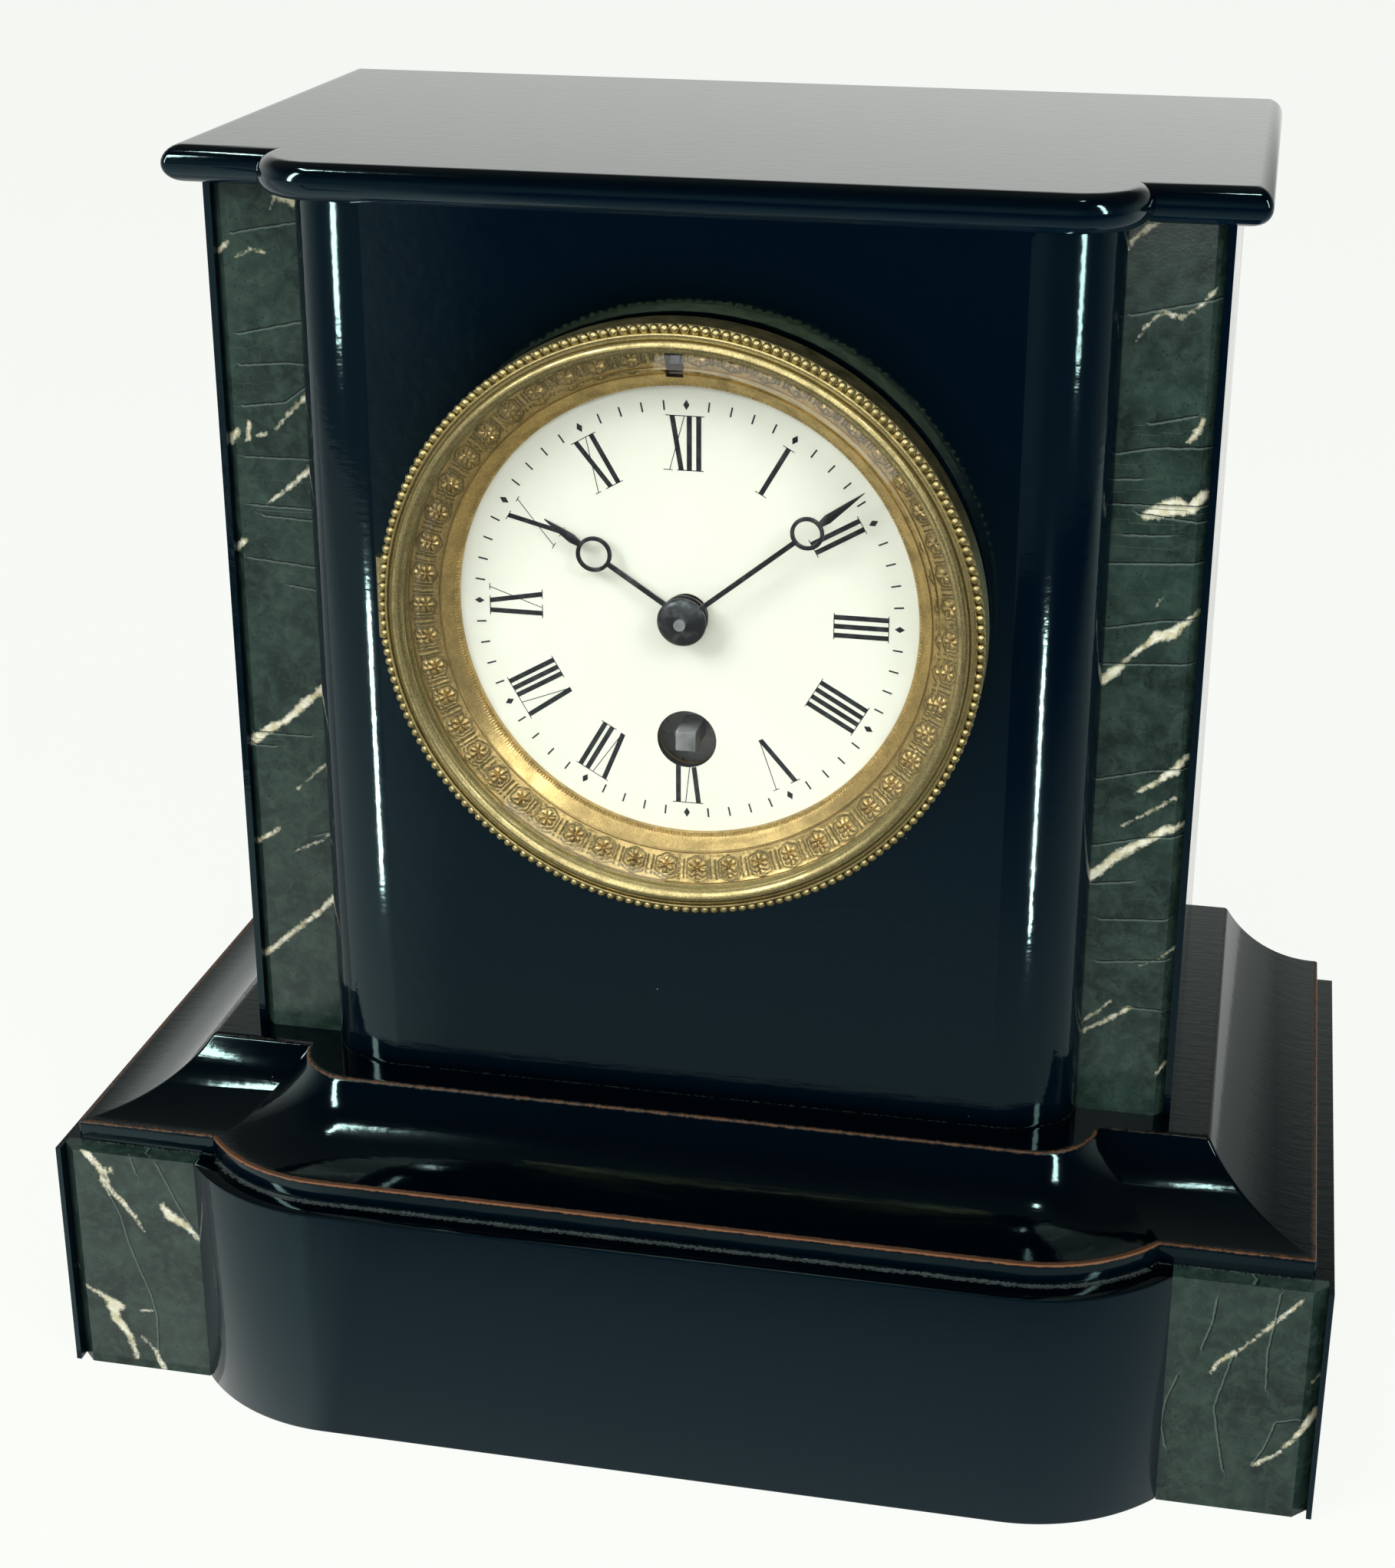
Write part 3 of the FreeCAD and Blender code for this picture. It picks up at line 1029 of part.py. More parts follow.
pendulum_sizes = {
    "shelf_up": 36.9, "shelf_thickness": 2.0, "shelf_half_width": 4.5, "shelf_reach": 16.0,
    "regulator_module": 0.4, "regulator_gap": 0.4, "regulator_pinion_length": 2.0, "regulator_radius": 0.75,
    "regulator_stand": 3.4, "contrate_inner": 2.4, "contrate_outer": 3.3, "contrate_disc_radius": 3.6,
    "contrate_disc": 1.0, "screw_radius": 0.8, "slider_height": 3.0, "slider_half_width": 3.0,
    "slider_wall": 1.6, "strip_thickness": 0.2, "strip_width": 4.0, "slot_half_width": 0.55,
    "slider_slot_half": 0.3, "strip_rise": 5.4, "strip_drop": 5.0, "end_piece_height": 3.5,
    "end_piece_half_width": 2.4, "rod_drop": 120.6, "bob_drop": 106.0, "bob_radius": 11.0,
    "bob_thickness": 7.0, "bob_edge": 1.6, "nut_radius": 2.6, "nut_height": 3.0, "thread_radius": 0.9,
}
enter("Suspension, regulator and pendulum", pendulum_sizes)
pendulum_counts = {
    "regulator_leaves": 8, "contrate_teeth": 14,
}
enter("Suspension, regulator and pendulum, counts", pendulum_counts)
screw_plane = "(%s + regulator_gap + regulator_pinion_length / 2 + contrate_teeth * regulator_module / 2)" % cock_back
shelf_low = "(dial_height + shelf_up)"
shelf_high = "(dial_height + shelf_up + shelf_thickness)"
cock_solid = join("fuse", "cock_solid", [
    box("cock_plate", ("-cock_half_width", "cock_half_width"), (cock_front, cock_back),
        ("dial_height + anchor_up - 2 * cock_foot_radius", "dial_height + shelf_up")),
    box("cock_head", ("-shelf_half_width", "shelf_half_width"), (cock_front, cock_back),
        ("dial_height + anchor_up", "dial_height + cock_top")),
    box("cock_shelf", ("-shelf_half_width", "shelf_half_width"),
        (cock_front, "%s + shelf_reach" % back_plate_back), (shelf_low, shelf_high))] + [
    cylinder("cock_foot_%s" % side, "y", "%scock_foot_across" % sign, back_plate_back,
             "dial_height + cock_foot_up", "cock_foot_radius", "cock_gap")
    for side, sign in (("right", ""), ("left", "-"))])
cock_holes = join("fuse", "cock_holes", [
    cylinder("cock_pivot_hole", "y", "0", cock_front, "dial_height + anchor_up", "pivot_radius + running_gap",
             "cock_thickness"),
    cylinder("cock_regulator_hole", "y", "-regulator_across", cock_front, "dial_height + regulator_up",
             "regulator_radius + running_gap", "cock_thickness"),
    cylinder("shelf_screw_hole", "z", "-regulator_across", screw_plane, shelf_low, "screw_radius + running_gap",
             "shelf_thickness"),
    box("shelf_slot", ("-slot_half_width", "slot_half_width"),
        ("%s - strip_width / 2 - slot_half_width" % rod_middle, "%s + shelf_reach" % back_plate_back),
        (shelf_low, shelf_high))] + [
    cylinder("cock_screw_hole_%s" % side, "y", "%scock_foot_across" % sign, back_plate_back,
             "dial_height + cock_foot_up", "cock_screw_radius + seat_gap", "cock_gap + cock_thickness")
    for side, sign in (("right", ""), ("left", "-"))])
cut("back_cock", cock_solid, cock_holes)

regulator_module = value("regulator_module")
regulator_spot = (-value("regulator_across"), value("regulator_up"))
pinion_front = value(cock_back) + value("regulator_gap")
pinion_pitch = value("regulator_leaves") * regulator_module / 2


def regulating_arbor():
    """The long arbor with a key square at the front and a small pinion behind the cock."""
    half = value("regulator_radius") * 0.95
    front = value(dial_front) - value("regulator_stand")
    shaft = rod(value("regulator_radius"), value(dial_plate_back), pinion_front)
    square = Part.makeBox(2 * half, value(dial_plate_back) - front, 2 * half, FreeCAD.Vector(-half, front, -half))
    leaves = slab([tooth_ring(value("regulator_leaves"), regulator_module, "pinion", math.pi / 2)], pinion_front,
                  value("regulator_pinion_length"))
    return shaft.fuse([square, leaves]).removeSplitter()


feature("regulating_arbor", regulating_arbor(), *regulator_spot)


def contrate_screw():
    """An upright screw under a wheel whose teeth point down to the regulating arbor's pinion."""
    middle = value(screw_plane)
    tips = pinion_pitch - 0.75 * regulator_module
    disc_low = pinion_pitch + 1.1 * regulator_module
    disc = Part.makeCylinder(value("contrate_disc_radius"), value("contrate_disc"),
                             FreeCAD.Vector(0, middle, disc_low))
    low = value("anchor_up") - value("regulator_up")
    shaft = Part.makeCylinder(value("screw_radius"), disc_low - low, FreeCAD.Vector(0, middle, low))
    inner, outer, count = value("contrate_inner"), value("contrate_outer"), int(value("contrate_teeth"))
    pitch = math.pi * regulator_module
    tip_half, base_half = 0.09 * pitch, 0.2 * pitch
    section = Part.makePolygon([FreeCAD.Vector(a, middle + inner, b) for a, b in (
        (-base_half, disc_low), (-tip_half, tips), (tip_half, tips), (base_half, disc_low), (-base_half, disc_low))])
    tooth = Part.Face(section).extrude(FreeCAD.Vector(0, outer - inner, 0))
    teeth = []
    for number in range(count):
        copy = tooth.copy()
        copy.rotate(FreeCAD.Vector(0, middle, 0), FreeCAD.Vector(0, 0, 1), (number + 0.5) * 360 / count)
        teeth.append(copy)
    return disc.fuse([shaft] + teeth).removeSplitter()


feature("regulating_screw", contrate_screw(), *regulator_spot)
slider_top = "(dial_height + anchor_up + slider_height)"
slider_block = box("slider_block", ("-slider_half_width", "slider_half_width"),
                   ("%s - screw_radius - slider_wall" % screw_plane, "%s + strip_width / 2 + slider_wall" % rod_middle),
                   ("dial_height + anchor_up", slider_top))
slider_holes = join("fuse", "slider_holes", [
    cylinder("slider_screw_hole", "z", "-regulator_across", screw_plane, "dial_height + anchor_up",
             "screw_radius + running_gap", "slider_height"),
    box("slider_slot", ("-slider_slot_half", "slider_slot_half"),
        ("%s - strip_width / 2 - slider_slot_half" % rod_middle, "%s + strip_width / 2 + slider_slot_half" % rod_middle),
        ("dial_height + anchor_up", slider_top))])
cut("suspension_slider", slider_block, slider_holes)
strip_low = "(dial_height + anchor_up - strip_drop)"
join("fuse", "suspension_spring", [
    box("spring_strip", ("-strip_thickness / 2", "strip_thickness / 2"),
        ("%s - strip_width / 2" % rod_middle, "%s + strip_width / 2" % rod_middle),
        (strip_low, "dial_height + anchor_up + strip_rise")),
    box("spring_end_piece", ("-end_piece_half_width", "end_piece_half_width"),
        ("%s - strip_width / 2" % rod_middle, "%s + strip_width / 2" % rod_middle),
        ("%s - end_piece_height" % strip_low, strip_low))])
rod_top = "(%s - end_piece_height)" % strip_low
bob_centre = "(dial_height + anchor_up - bob_drop)"
rod_end = "(dial_height + anchor_up - rod_drop)"
thread_top = "(%s - bob_radius)" % bob_centre
join("fuse", "pendulum_rod", [
    box("rod_flat", ("-rod_width / 2", "rod_width / 2"),
        ("%s - rod_thickness / 2" % rod_middle, "%s + rod_thickness / 2" % rod_middle),
        (thread_top, rod_top)),
    cylinder("rod_thread", "z", "0", rod_middle, rod_end, "thread_radius", "%s - %s" % (thread_top, rod_end))])
bob_blank = turned("bob_blank", [
    ("0", "%s - bob_thickness / 2" % rod_middle), ("0.5 * bob_radius", "%s - 0.42 * bob_thickness" % rod_middle),
    ("bob_radius", "%s - bob_edge / 2" % rod_middle), ("bob_radius", "%s + bob_edge / 2" % rod_middle),
    ("0.5 * bob_radius", "%s + 0.42 * bob_thickness" % rod_middle),
    ("0", "%s + bob_thickness / 2" % rod_middle)], "0", bob_centre)
cut("pendulum_bob", bob_blank, box(
    "bob_slot", ("-rod_width / 2 - seat_gap", "rod_width / 2 + seat_gap"),
    ("%s - rod_thickness / 2 - seat_gap" % rod_middle, "%s + rod_thickness / 2 + seat_gap" % rod_middle),
    ("%s - bob_radius" % bob_centre, "%s + bob_radius" % bob_centre)))
nut_top = "(%s - bob_radius - knuckle_gap)" % bob_centre
cut("rating_nut", cylinder("nut_blank", "z", "0", rod_middle, "%s - nut_height" % nut_top, "nut_radius", "nut_height"),
    cylinder("nut_thread", "z", "0", rod_middle, "%s - nut_height" % nut_top, "thread_radius + running_gap",
             "nut_height"))

# What holds the movement in the case: side straps, long screws, the back ring and its hinged door

back_sizes = {
    "strap_outer": 43.1, "strap_thickness": 1.4, "strap_width": 8.0, "strap_tab": 7.4,
    "strap_back_gap": 2.7, "long_screw_place": 37.4, "long_screw_radius": 1.4, "screw_head_radius": 2.4,
    "screw_head": 1.1, "back_ring_radius": 45.5, "back_ring_flange": 1.3, "back_ring_rim": 39.8,
    "back_ring_wall": 1.1, "back_ring_height": 2.7, "lug_half_width": 4.0, "door_radius": 41.3,
    "door_thickness": 0.8, "door_gap": 0.1, "door_hinge_offset": 43.6, "door_knob_radius": 2.0,
    "door_knob_height": 0.6, "door_knob_place": 33.0, "strap_screw_radius": 1.0,
}
enter("Straps, back ring and door", back_sizes)
strap_front = "(%s + end_shake)" % dial_plate_back
strap_back = "(%s - strap_back_gap)" % case_back_front
strap_z = ("dial_height - strap_width / 2", "dial_height + strap_width / 2")
strap_right = cut("strap_right", join("fuse", "strap_right_bar", [
    box("strap_bar", ("strap_outer - strap_thickness", "strap_outer"), (strap_front, strap_back), strap_z),
    box("strap_foot", ("strap_outer - strap_thickness - strap_tab", "strap_outer"),
        ("%s - strap_thickness" % strap_back, strap_back), strap_z)]),
    cylinder("strap_tap", "y", "long_screw_place", "%s - strap_thickness" % strap_back, bore_z,
             "long_screw_radius + seat_gap", "strap_thickness"))
join("group", "side_straps", [strap_right, mirror("strap_left", strap_right)])
ring_back = "(%s + back_ring_height)" % case_back_back
back_ring_blank = join("fuse", "back_ring_blank", [
    turned("back_ring_turning", [
        ("back_ring_rim", case_back_front), ("back_ring_rim + back_ring_wall", case_back_front),
        ("back_ring_rim + back_ring_wall", case_back_back), ("back_ring_radius", case_back_back),
        ("back_ring_radius", "%s + back_ring_flange" % case_back_back),
        ("back_ring_rim + back_ring_wall", "%s + back_ring_flange" % case_back_back),
        ("back_ring_rim + back_ring_wall", ring_back), ("back_ring_rim", ring_back)], "0", bore_z)] + [
    box("back_lug_%s" % side, ("%slong_screw_place - lug_half_width" % sign, "%slong_screw_place + lug_half_width" % sign),
        (case_back_back, "%s + back_ring_flange" % case_back_back),
        ("dial_height - lug_half_width", "dial_height + lug_half_width")) for side, sign in (("right", ""), ("left", "-"))])
back_hinge_z = ("dial_height - hinge_half_length", "dial_height + hinge_half_length")
door_front = "(%s + door_gap)" % ring_back
door_back = "(%s + door_thickness)" % door_front
door_hinge_y = "(%s + door_thickness / 2)" % door_front


def door_knuckle(name, low, high, radius):
    """A length of the back door's upright hinge, between two heights from the dial's centre."""
    return cylinder(name, "z", "-door_hinge_offset", door_hinge_y, "dial_height + (%s)" % low, radius,
                    "(%s) - (%s)" % (high, low))


door_leaves = []
for number, (low, high) in enumerate(fixed_span):
    door_leaves.append(door_knuckle("ring_knuckle_%d" % number, low, high, "knuckle_radius"))
    door_leaves.append(box(
        "ring_leaf_%d" % number, ("-door_hinge_offset - knuckle_radius", "-door_hinge_offset + knuckle_radius / 2"),
        (case_back_back, door_hinge_y), ("dial_height + (%s)" % low, "dial_height + (%s)" % high)))
back_ring_holes = join("fuse", "back_ring_holes", [
    door_knuckle("ring_pin_bore", "-hinge_half_length", "hinge_half_length", "hinge_pin_radius + seat_gap"),
    cylinder("lug_hole_right", "y", "long_screw_place", case_back_back, bore_z, "long_screw_radius + seat_gap",
             "back_ring_flange"),
    cylinder("lug_hole_left", "y", "-long_screw_place", case_back_back, bore_z, "long_screw_radius + seat_gap",
             "back_ring_flange")])
cut("back_ring", join("fuse", "back_ring_full", [back_ring_blank] + door_leaves), back_ring_holes)
door_solid = join("fuse", "door_solid", [
    plate("door_disc", [("circle", "0", "0", "door_radius")], door_front, door_back, "0", bore_z),
    door_knuckle("door_middle_knuckle", "-middle_knuckle_half", "middle_knuckle_half", "knuckle_radius"),
    box("door_leaf", ("-door_hinge_offset", "-door_radius + bead_radius"), (door_front, door_back),
        ("dial_height - middle_knuckle_half", "dial_height + middle_knuckle_half")),
    cylinder("door_knob", "y", "door_knob_place", door_back, bore_z, "door_knob_radius", "door_knob_height")])
cut("back_door", door_solid, door_knuckle("door_pin_bore", "-hinge_half_length", "hinge_half_length",
                                         "hinge_pin_radius + running_gap"))
join("group", "hinge_pins", [
    knuckle("bezel_pin", "-hinge_half_length", "hinge_half_length", "hinge_pin_radius"),
    door_knuckle("door_pin", "-hinge_half_length", "hinge_half_length", "hinge_pin_radius")])

# Screws: the long ones tie the back ring to the straps, the others hold straps, cock, click and minute wheel


def screw(name, across, up, head_back, length, radius, head_radius, head, toward_back):
    """A cheese-headed screw along the clock's depth, from under its head for its length."""
    direction = 1 if toward_back else -1
    shank = Part.makeCylinder(radius, length, FreeCAD.Vector(0, head_back, 0), FreeCAD.Vector(0, direction, 0))
    top = Part.makeCylinder(head_radius, head, FreeCAD.Vector(0, head_back, 0), FreeCAD.Vector(0, -direction, 0))
    slot_half = head_radius / 8
    slot = Part.makeBox(2 * head_radius, head / 3, 2 * slot_half, FreeCAD.Vector(
        -head_radius, head_back - direction * head - (head / 3 if direction < 0 else 0) * 1.0, -slot_half))
    return feature(name, shank.fuse(top).cut(slot).removeSplitter(), across, up)


long_length = value("%s + back_ring_flange - (%s - strap_thickness)" % (case_back_back, strap_back))
screws = []
for side, sign in (("right", 1), ("left", -1)):
    screws.append(screw("long_screw_%s" % side, sign * value("long_screw_place"), 0,
                        value("%s + back_ring_flange" % case_back_back), long_length, value("long_screw_radius"),
                        value("screw_head_radius"), value("screw_head"), False))
    screws.append(screw("cock_screw_%s" % side, sign * value("cock_foot_across"), value("cock_foot_up"),
                        value(cock_back), value("cock_gap + cock_thickness"), value("cock_screw_radius"),
                        value("0.9 * cock_foot_radius"), value("screw_head"), False))
screws.append(screw("click_screw", click_spot[0], click_spot[1], click_front - shake,
                    plates[0] - click_front + shake, value("click_screw_radius"),
                    value("1.7 * click_screw_radius"), value("screw_head"), True))
screws.append(screw("minute_stud", minute_spot[0], minute_spot[1], hour_front - 2 * shake,
                    plates[0] - hour_front + 2 * shake, value("stud_radius"), value("1.6 * stud_radius"),
                    value("screw_head / 2"), True))
join("group", "movement_screws", screws)


def click_spring():
    """A thin blade screwed to the plate that bears beside the click."""
    thickness = value("click_spring_thickness")
    length, foot = value("ratchet_radius") * 1.5, value("click_width")
    blade = Part.makeBox(thickness, value("click_thickness"), length, FreeCAD.Vector(0, click_front, 0))
    pad_block = Part.makeBox(foot, plates[0] - click_front, foot, FreeCAD.Vector(0, click_front, length - foot))
    return blade.fuse(pad_block).removeSplitter()


feature("click_spring", click_spring(), click_spot[0] + value("click_width"), click_spot[1] - value("click_width / 2"))

# Every piece is checked and written to its own file

NODES = [
    "plinth_front", "plinth_left", "plinth_right", "plinth_back", "plinth_panel_left", "plinth_panel_right",
    "base_moulding", "case_front", "case_side_left", "case_side_right", "case_back", "pilaster_left",
    "pilaster_right", "cap_slab", "dial_surround", "sight_ring", "dial_enamel", "dial_plate", "bezel",
    "bezel_glass", "glass_retainer", "hinge_pins", "front_plate", "back_plate", "plate_pillars", "barrel",
    "barrel_cap", "winding_arbor", "mainspring", "ratchet_wheel", "click", "click_spring", "movement_screws",
    "intermediate_wheel", "intermediate_arbor", "centre_wheel", "centre_arbor", "third_wheel", "third_arbor",
    "escape_wheel", "escape_arbor", "anchor", "anchor_arbor", "crutch", "back_cock", "regulating_arbor",
    "regulating_screw", "suspension_slider", "suspension_spring", "pendulum_rod", "pendulum_bob", "rating_nut",
    "cannon_pinion", "minute_wheel", "hour_wheel", "hour_hand", "minute_hand", "side_straps", "back_ring",
    "back_door",
]

doc.recompute()
failed = [o.Label for o in doc.Objects if {"Invalid", "Error"} & set(o.State)]
if failed:
    raise SystemExit("these objects failed: " + ", ".join(failed))
for node in NODES:
    shape = doc.getObject(node).Shape
    if shape.isNull() or not shape.isValid() or not shape.Solids:
        raise SystemExit("the shape of %s is not sound" % node)
os.makedirs("parts", exist_ok=True)
for node in NODES:
    doc.getObject(node).Shape.exportStep("parts/%s.step" % node)
print("%d pieces written" % len(NODES))
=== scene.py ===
import json
import math

import bmesh
import bpy
from mathutils import Matrix, Vector, noise

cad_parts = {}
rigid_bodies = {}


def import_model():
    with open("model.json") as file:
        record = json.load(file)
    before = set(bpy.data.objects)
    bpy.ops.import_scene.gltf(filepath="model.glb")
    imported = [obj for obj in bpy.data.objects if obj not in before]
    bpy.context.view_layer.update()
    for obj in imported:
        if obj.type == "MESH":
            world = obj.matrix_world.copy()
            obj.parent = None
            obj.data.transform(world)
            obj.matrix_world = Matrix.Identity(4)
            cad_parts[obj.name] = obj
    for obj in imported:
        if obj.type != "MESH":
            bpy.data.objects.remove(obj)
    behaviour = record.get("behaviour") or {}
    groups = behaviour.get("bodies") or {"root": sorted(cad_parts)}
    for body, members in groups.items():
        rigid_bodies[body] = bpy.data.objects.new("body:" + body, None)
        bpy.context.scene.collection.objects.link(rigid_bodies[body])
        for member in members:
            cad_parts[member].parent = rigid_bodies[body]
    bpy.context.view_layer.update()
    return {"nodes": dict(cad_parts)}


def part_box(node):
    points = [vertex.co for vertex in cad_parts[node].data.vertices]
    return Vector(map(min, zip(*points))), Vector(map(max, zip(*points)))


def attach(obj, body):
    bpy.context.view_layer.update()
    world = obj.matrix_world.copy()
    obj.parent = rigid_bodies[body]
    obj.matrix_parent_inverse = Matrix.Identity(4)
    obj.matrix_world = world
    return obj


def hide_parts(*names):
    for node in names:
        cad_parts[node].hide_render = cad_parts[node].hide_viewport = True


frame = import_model()
nodes = frame["nodes"]

# The viewpoint: a little to the right of the clock and above it, looking down at the dial.
# The lens and the small shift are the ones that the reference picture was taken with.

picture_width = 1818
picture_height = 2044
focal_pixels = 3474.41
axis_pixels = (943.89, 980.30)
sensor = 0.036
eye = Vector((0.08864, -0.4348, 0.29033))
turn_left = math.radians(11.62)
look_down = math.radians(22.07)
lean = math.radians(0.24)
ahead = Vector((-math.sin(turn_left) * math.cos(look_down), math.cos(turn_left) * math.cos(look_down),
                -math.sin(look_down)))
level_right = Vector((math.cos(turn_left), math.sin(turn_left), 0))
level_up = level_right.cross(ahead)
right = level_right * math.cos(lean) + level_up * math.sin(lean)
up = level_up * math.cos(lean) - level_right * math.sin(lean)
camera = bpy.data.objects.new("camera", bpy.data.cameras.new("camera"))
camera.data.lens = focal_pixels * sensor * 1000 / picture_height
camera.data.sensor_width = sensor * 1000
camera.data.shift_x = (picture_width / 2 - axis_pixels[0]) / picture_height
camera.data.shift_y = (axis_pixels[1] - picture_height / 2) / picture_height
camera.data.clip_start = 0.01
camera.matrix_world = Matrix.Translation(eye) @ Matrix((right, up, -ahead)).transposed().to_4x4()
bpy.context.scene.collection.objects.link(camera)
bpy.context.scene.camera = camera
bpy.context.scene.view_settings.view_transform = "Standard"

# The surroundings: a matt white table in front of a white backdrop, in a room that is dark in front of it,
# so that polished black wood shows pale table low down, the dark room higher up and a few bright panes.

floor_colour = "#f4f5f1"
backdrop_colour = "#fbfdf9"
room_colour = "#6d8d99"
floor_half = 3.0
table_roughness = 0.7
floor_glow_share = 0.93
room_dark_share = 0.34
room_fades = (("Y", -0.4, 0.2, room_dark_share, 1.0), ("Z", 0.25, 0.55, 1.0, 0.1),
              ("X", -0.4, 0.02, 0.92, 1.12), ("X", 0.08, 0.3, 1.0, 0.4))
# Where the table's painted glow, seen only in reflections, has faded out, and where it is full.
table_glow_end_line = -0.7
table_glow_full_line = 0.2
lit_line_x = -0.05
lit_line_y = -0.034
lit_bearings = (-0.28, -0.46)
lit_share = 0.5
lit_start = 0.02
lamp_aim = Vector((0, 0, 0.12))
pane_aim = Vector((0, 0, 0.06))
strip_height = 0.0005
lamp_places = {
    "lamp_above": ((0.0, -0.65, 1.15), 1.2, 7.5),
    "lamp_front": ((0.05, -1.1, 0.42), 0.9, 4.5),
    "lamp_left": ((-0.7, -0.75, 0.85), 0.5, 8.0),
    "lamp_right": ((0.75, -0.7, 0.85), 0.4, 6.0),
}
window_heights = (0.106, 0.214)
window_segments = 9
window_gap_share = 0.16
window_strips = {
    "window_left": ((-0.0545, -0.0338), -0.527, 0.085, 90.0),
    "window_right": ((0.0560, -0.0335), 0.505, 0.065, 80.0),
}
window_panes = {
    "window_high_left": ((-0.50, -0.20, 1.17), (0.26, 0.050), 40.0),
    "window_high_right": ((0.165, -0.20, 1.17), (0.07, 0.045), 45.0),
    "window_tall_left": ((-0.67, -0.60, 0.55), (0.10, 0.70), 36.0),
    "window_tall_right": ((0.70, -0.62, 0.62), (0.09, 0.80), 30.0),
}


def linear(hex_colour):
    """An sRGB hex colour as the linear one that shaders take."""
    shares = [int(hex_colour[i:i + 2], 16) / 255 for i in (1, 3, 5)]
    return [s / 12.92 if s <= 0.04045 else ((s + 0.055) / 1.055) ** 2.4 for s in shares] + [1.0]


def fill(node, *feeds, **named):
    """Set what a shader node's sockets hold or are fed by: in their order, or by a name with a capital.

    Other names are the node's own settings. None passes a socket over, and a hex colour turns linear.
    """
    for name, setting in named.items():
        if name[0].islower():
            setattr(node, name, setting)
    sockets = [(name.replace("_", " "), feed) for name, feed in named.items() if name[0].isupper()]
    for socket, feed in list(enumerate(feeds)) + sockets:
        if isinstance(feed, str):
            feed = linear(feed)
        if isinstance(feed, bpy.types.Node):
            feed = feed.outputs[0]
        if isinstance(feed, bpy.types.NodeSocket):
            node.id_data.links.new(feed, node.inputs[socket])
        elif feed is not None:
            node.inputs[socket].default_value = feed
    return node


def add(tree, kind, *feeds, **named):
    """Add a shader node to a tree and fill its sockets."""
    return fill(tree.nodes.new("ShaderNode" + kind), *feeds, **named)


def finish_with(name, **sockets):
    """A material with its surface shader, ready for the nodes that feed it."""
    material = bpy.data.materials.new(name)
    material.use_nodes = True
    shader = material.node_tree.nodes["Principled BSDF"]
    return material, material.node_tree, fill(shader, **sockets)


def piece_from(name, points, faces, material, body="case"):
    """A mesh object with one material, riding on a body of the clock."""
    mesh = bpy.data.meshes.new(name)
    mesh.from_pydata([tuple(p) for p in points], [], faces)
    mesh.materials.append(material)
    mesh.validate()
    thing = bpy.data.objects.new(name, mesh)
    bpy.context.scene.collection.objects.link(thing)
    if body:
        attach(thing, body)
    return thing


table, tree, shader = finish_with("white_table", Base_Color=floor_colour, Roughness=table_roughness)
path = add(tree, "LightPath")
glow = add(tree, "Emission", Color=backdrop_colour)
seen_share = add(tree, "Math", path.outputs["Is Camera Ray"], floor_glow_share, operation="MULTIPLY")
seen = add(tree, "MixShader", seen_share, shader, glow)
spot = add(tree, "SeparateXYZ", Vector=add(tree, "TexCoord").outputs["Object"])
# In reflections the table is an emitter and is not lit: painted light, full near the clock and fading in
# front of it, with a band of painted window light to the left-front.
nearness = add(tree, "MapRange", spot.outputs["Y"], table_glow_end_line, table_glow_full_line)
near_glow = add(tree, "Math", nearness, 2.0, operation="POWER")
leftwards = add(tree, "Math", spot.outputs["X"], lit_line_x, operation="SUBTRACT")
forwards = add(tree, "Math", lit_line_y, spot.outputs["Y"], operation="SUBTRACT")
bearing = add(tree, "Math", leftwards, forwards, operation="DIVIDE")
window_glow = add(tree, "MapRange", bearing, lit_bearings[0], lit_bearings[1], None, lit_share)
in_front = add(tree, "Math", forwards, lit_start, operation="GREATER_THAN")
daylight = add(tree, "Math", window_glow, in_front, near_glow, operation="MULTIPLY_ADD")
mirrored = add(tree, "Emission", Color=floor_colour, Strength=daylight)
both = add(tree, "MixShader", path.outputs["Is Glossy Ray"], seen, mirrored)
fill(tree.nodes["Material Output"], Surface=both)
floor = piece_from("floor", [(-floor_half, -floor_half, 0), (floor_half, -floor_half, 0),
                             (floor_half, floor_half, 0), (-floor_half, floor_half, 0)],
                   [(0, 1, 2, 3)], table, body=None)
world = bpy.data.worlds.new("room")
bpy.context.scene.world = world
world.use_nodes = True
tree = world.node_tree
path = add(tree, "LightPath")
sides = add(tree, "SeparateXYZ", Vector=add(tree, "TexCoord").outputs["Generated"])
fades = [add(tree, "MapRange", sides.outputs[axis], start, end, first, last)
         for axis, start, end, first, last in room_fades]
wall = fades[0]
for share in fades[1:]:
    wall = add(tree, "Math", wall, share, operation="MULTIPLY")
room = add(tree, "Mix", Factor=fades[0], A=room_colour, B=backdrop_colour, data_type="RGBA")
room = add(tree, "Mix", Factor=path.outputs["Is Camera Ray"], A=room.outputs["Result"], B=backdrop_colour,
           data_type="RGBA")
level = add(tree, "Mix", path.outputs["Is Camera Ray"], None, wall, 1.0)
fill(tree.nodes["Background"], Color=room.outputs["Result"], Strength=level)
polished_black = bpy.data.collections.new("polished_black")
polished_front = bpy.data.collections.new("polished_front")
out_of_lamplight = bpy.data.collections.new("out_of_lamplight")
for name, (place, size, power) in lamp_places.items():
    lamp = bpy.data.objects.new(name, bpy.data.lights.new(name, "AREA"))
    lamp.data.shape = "DISK"
    lamp.data.size = size
    lamp.data.energy = power
    lamp.location = place
    lamp.rotation_euler = (Vector(place) - lamp_aim).to_track_quat("Z", "Y").to_euler()
    lamp.light_linking.receiver_collection = out_of_lamplight
    bpy.context.scene.collection.objects.link(lamp)


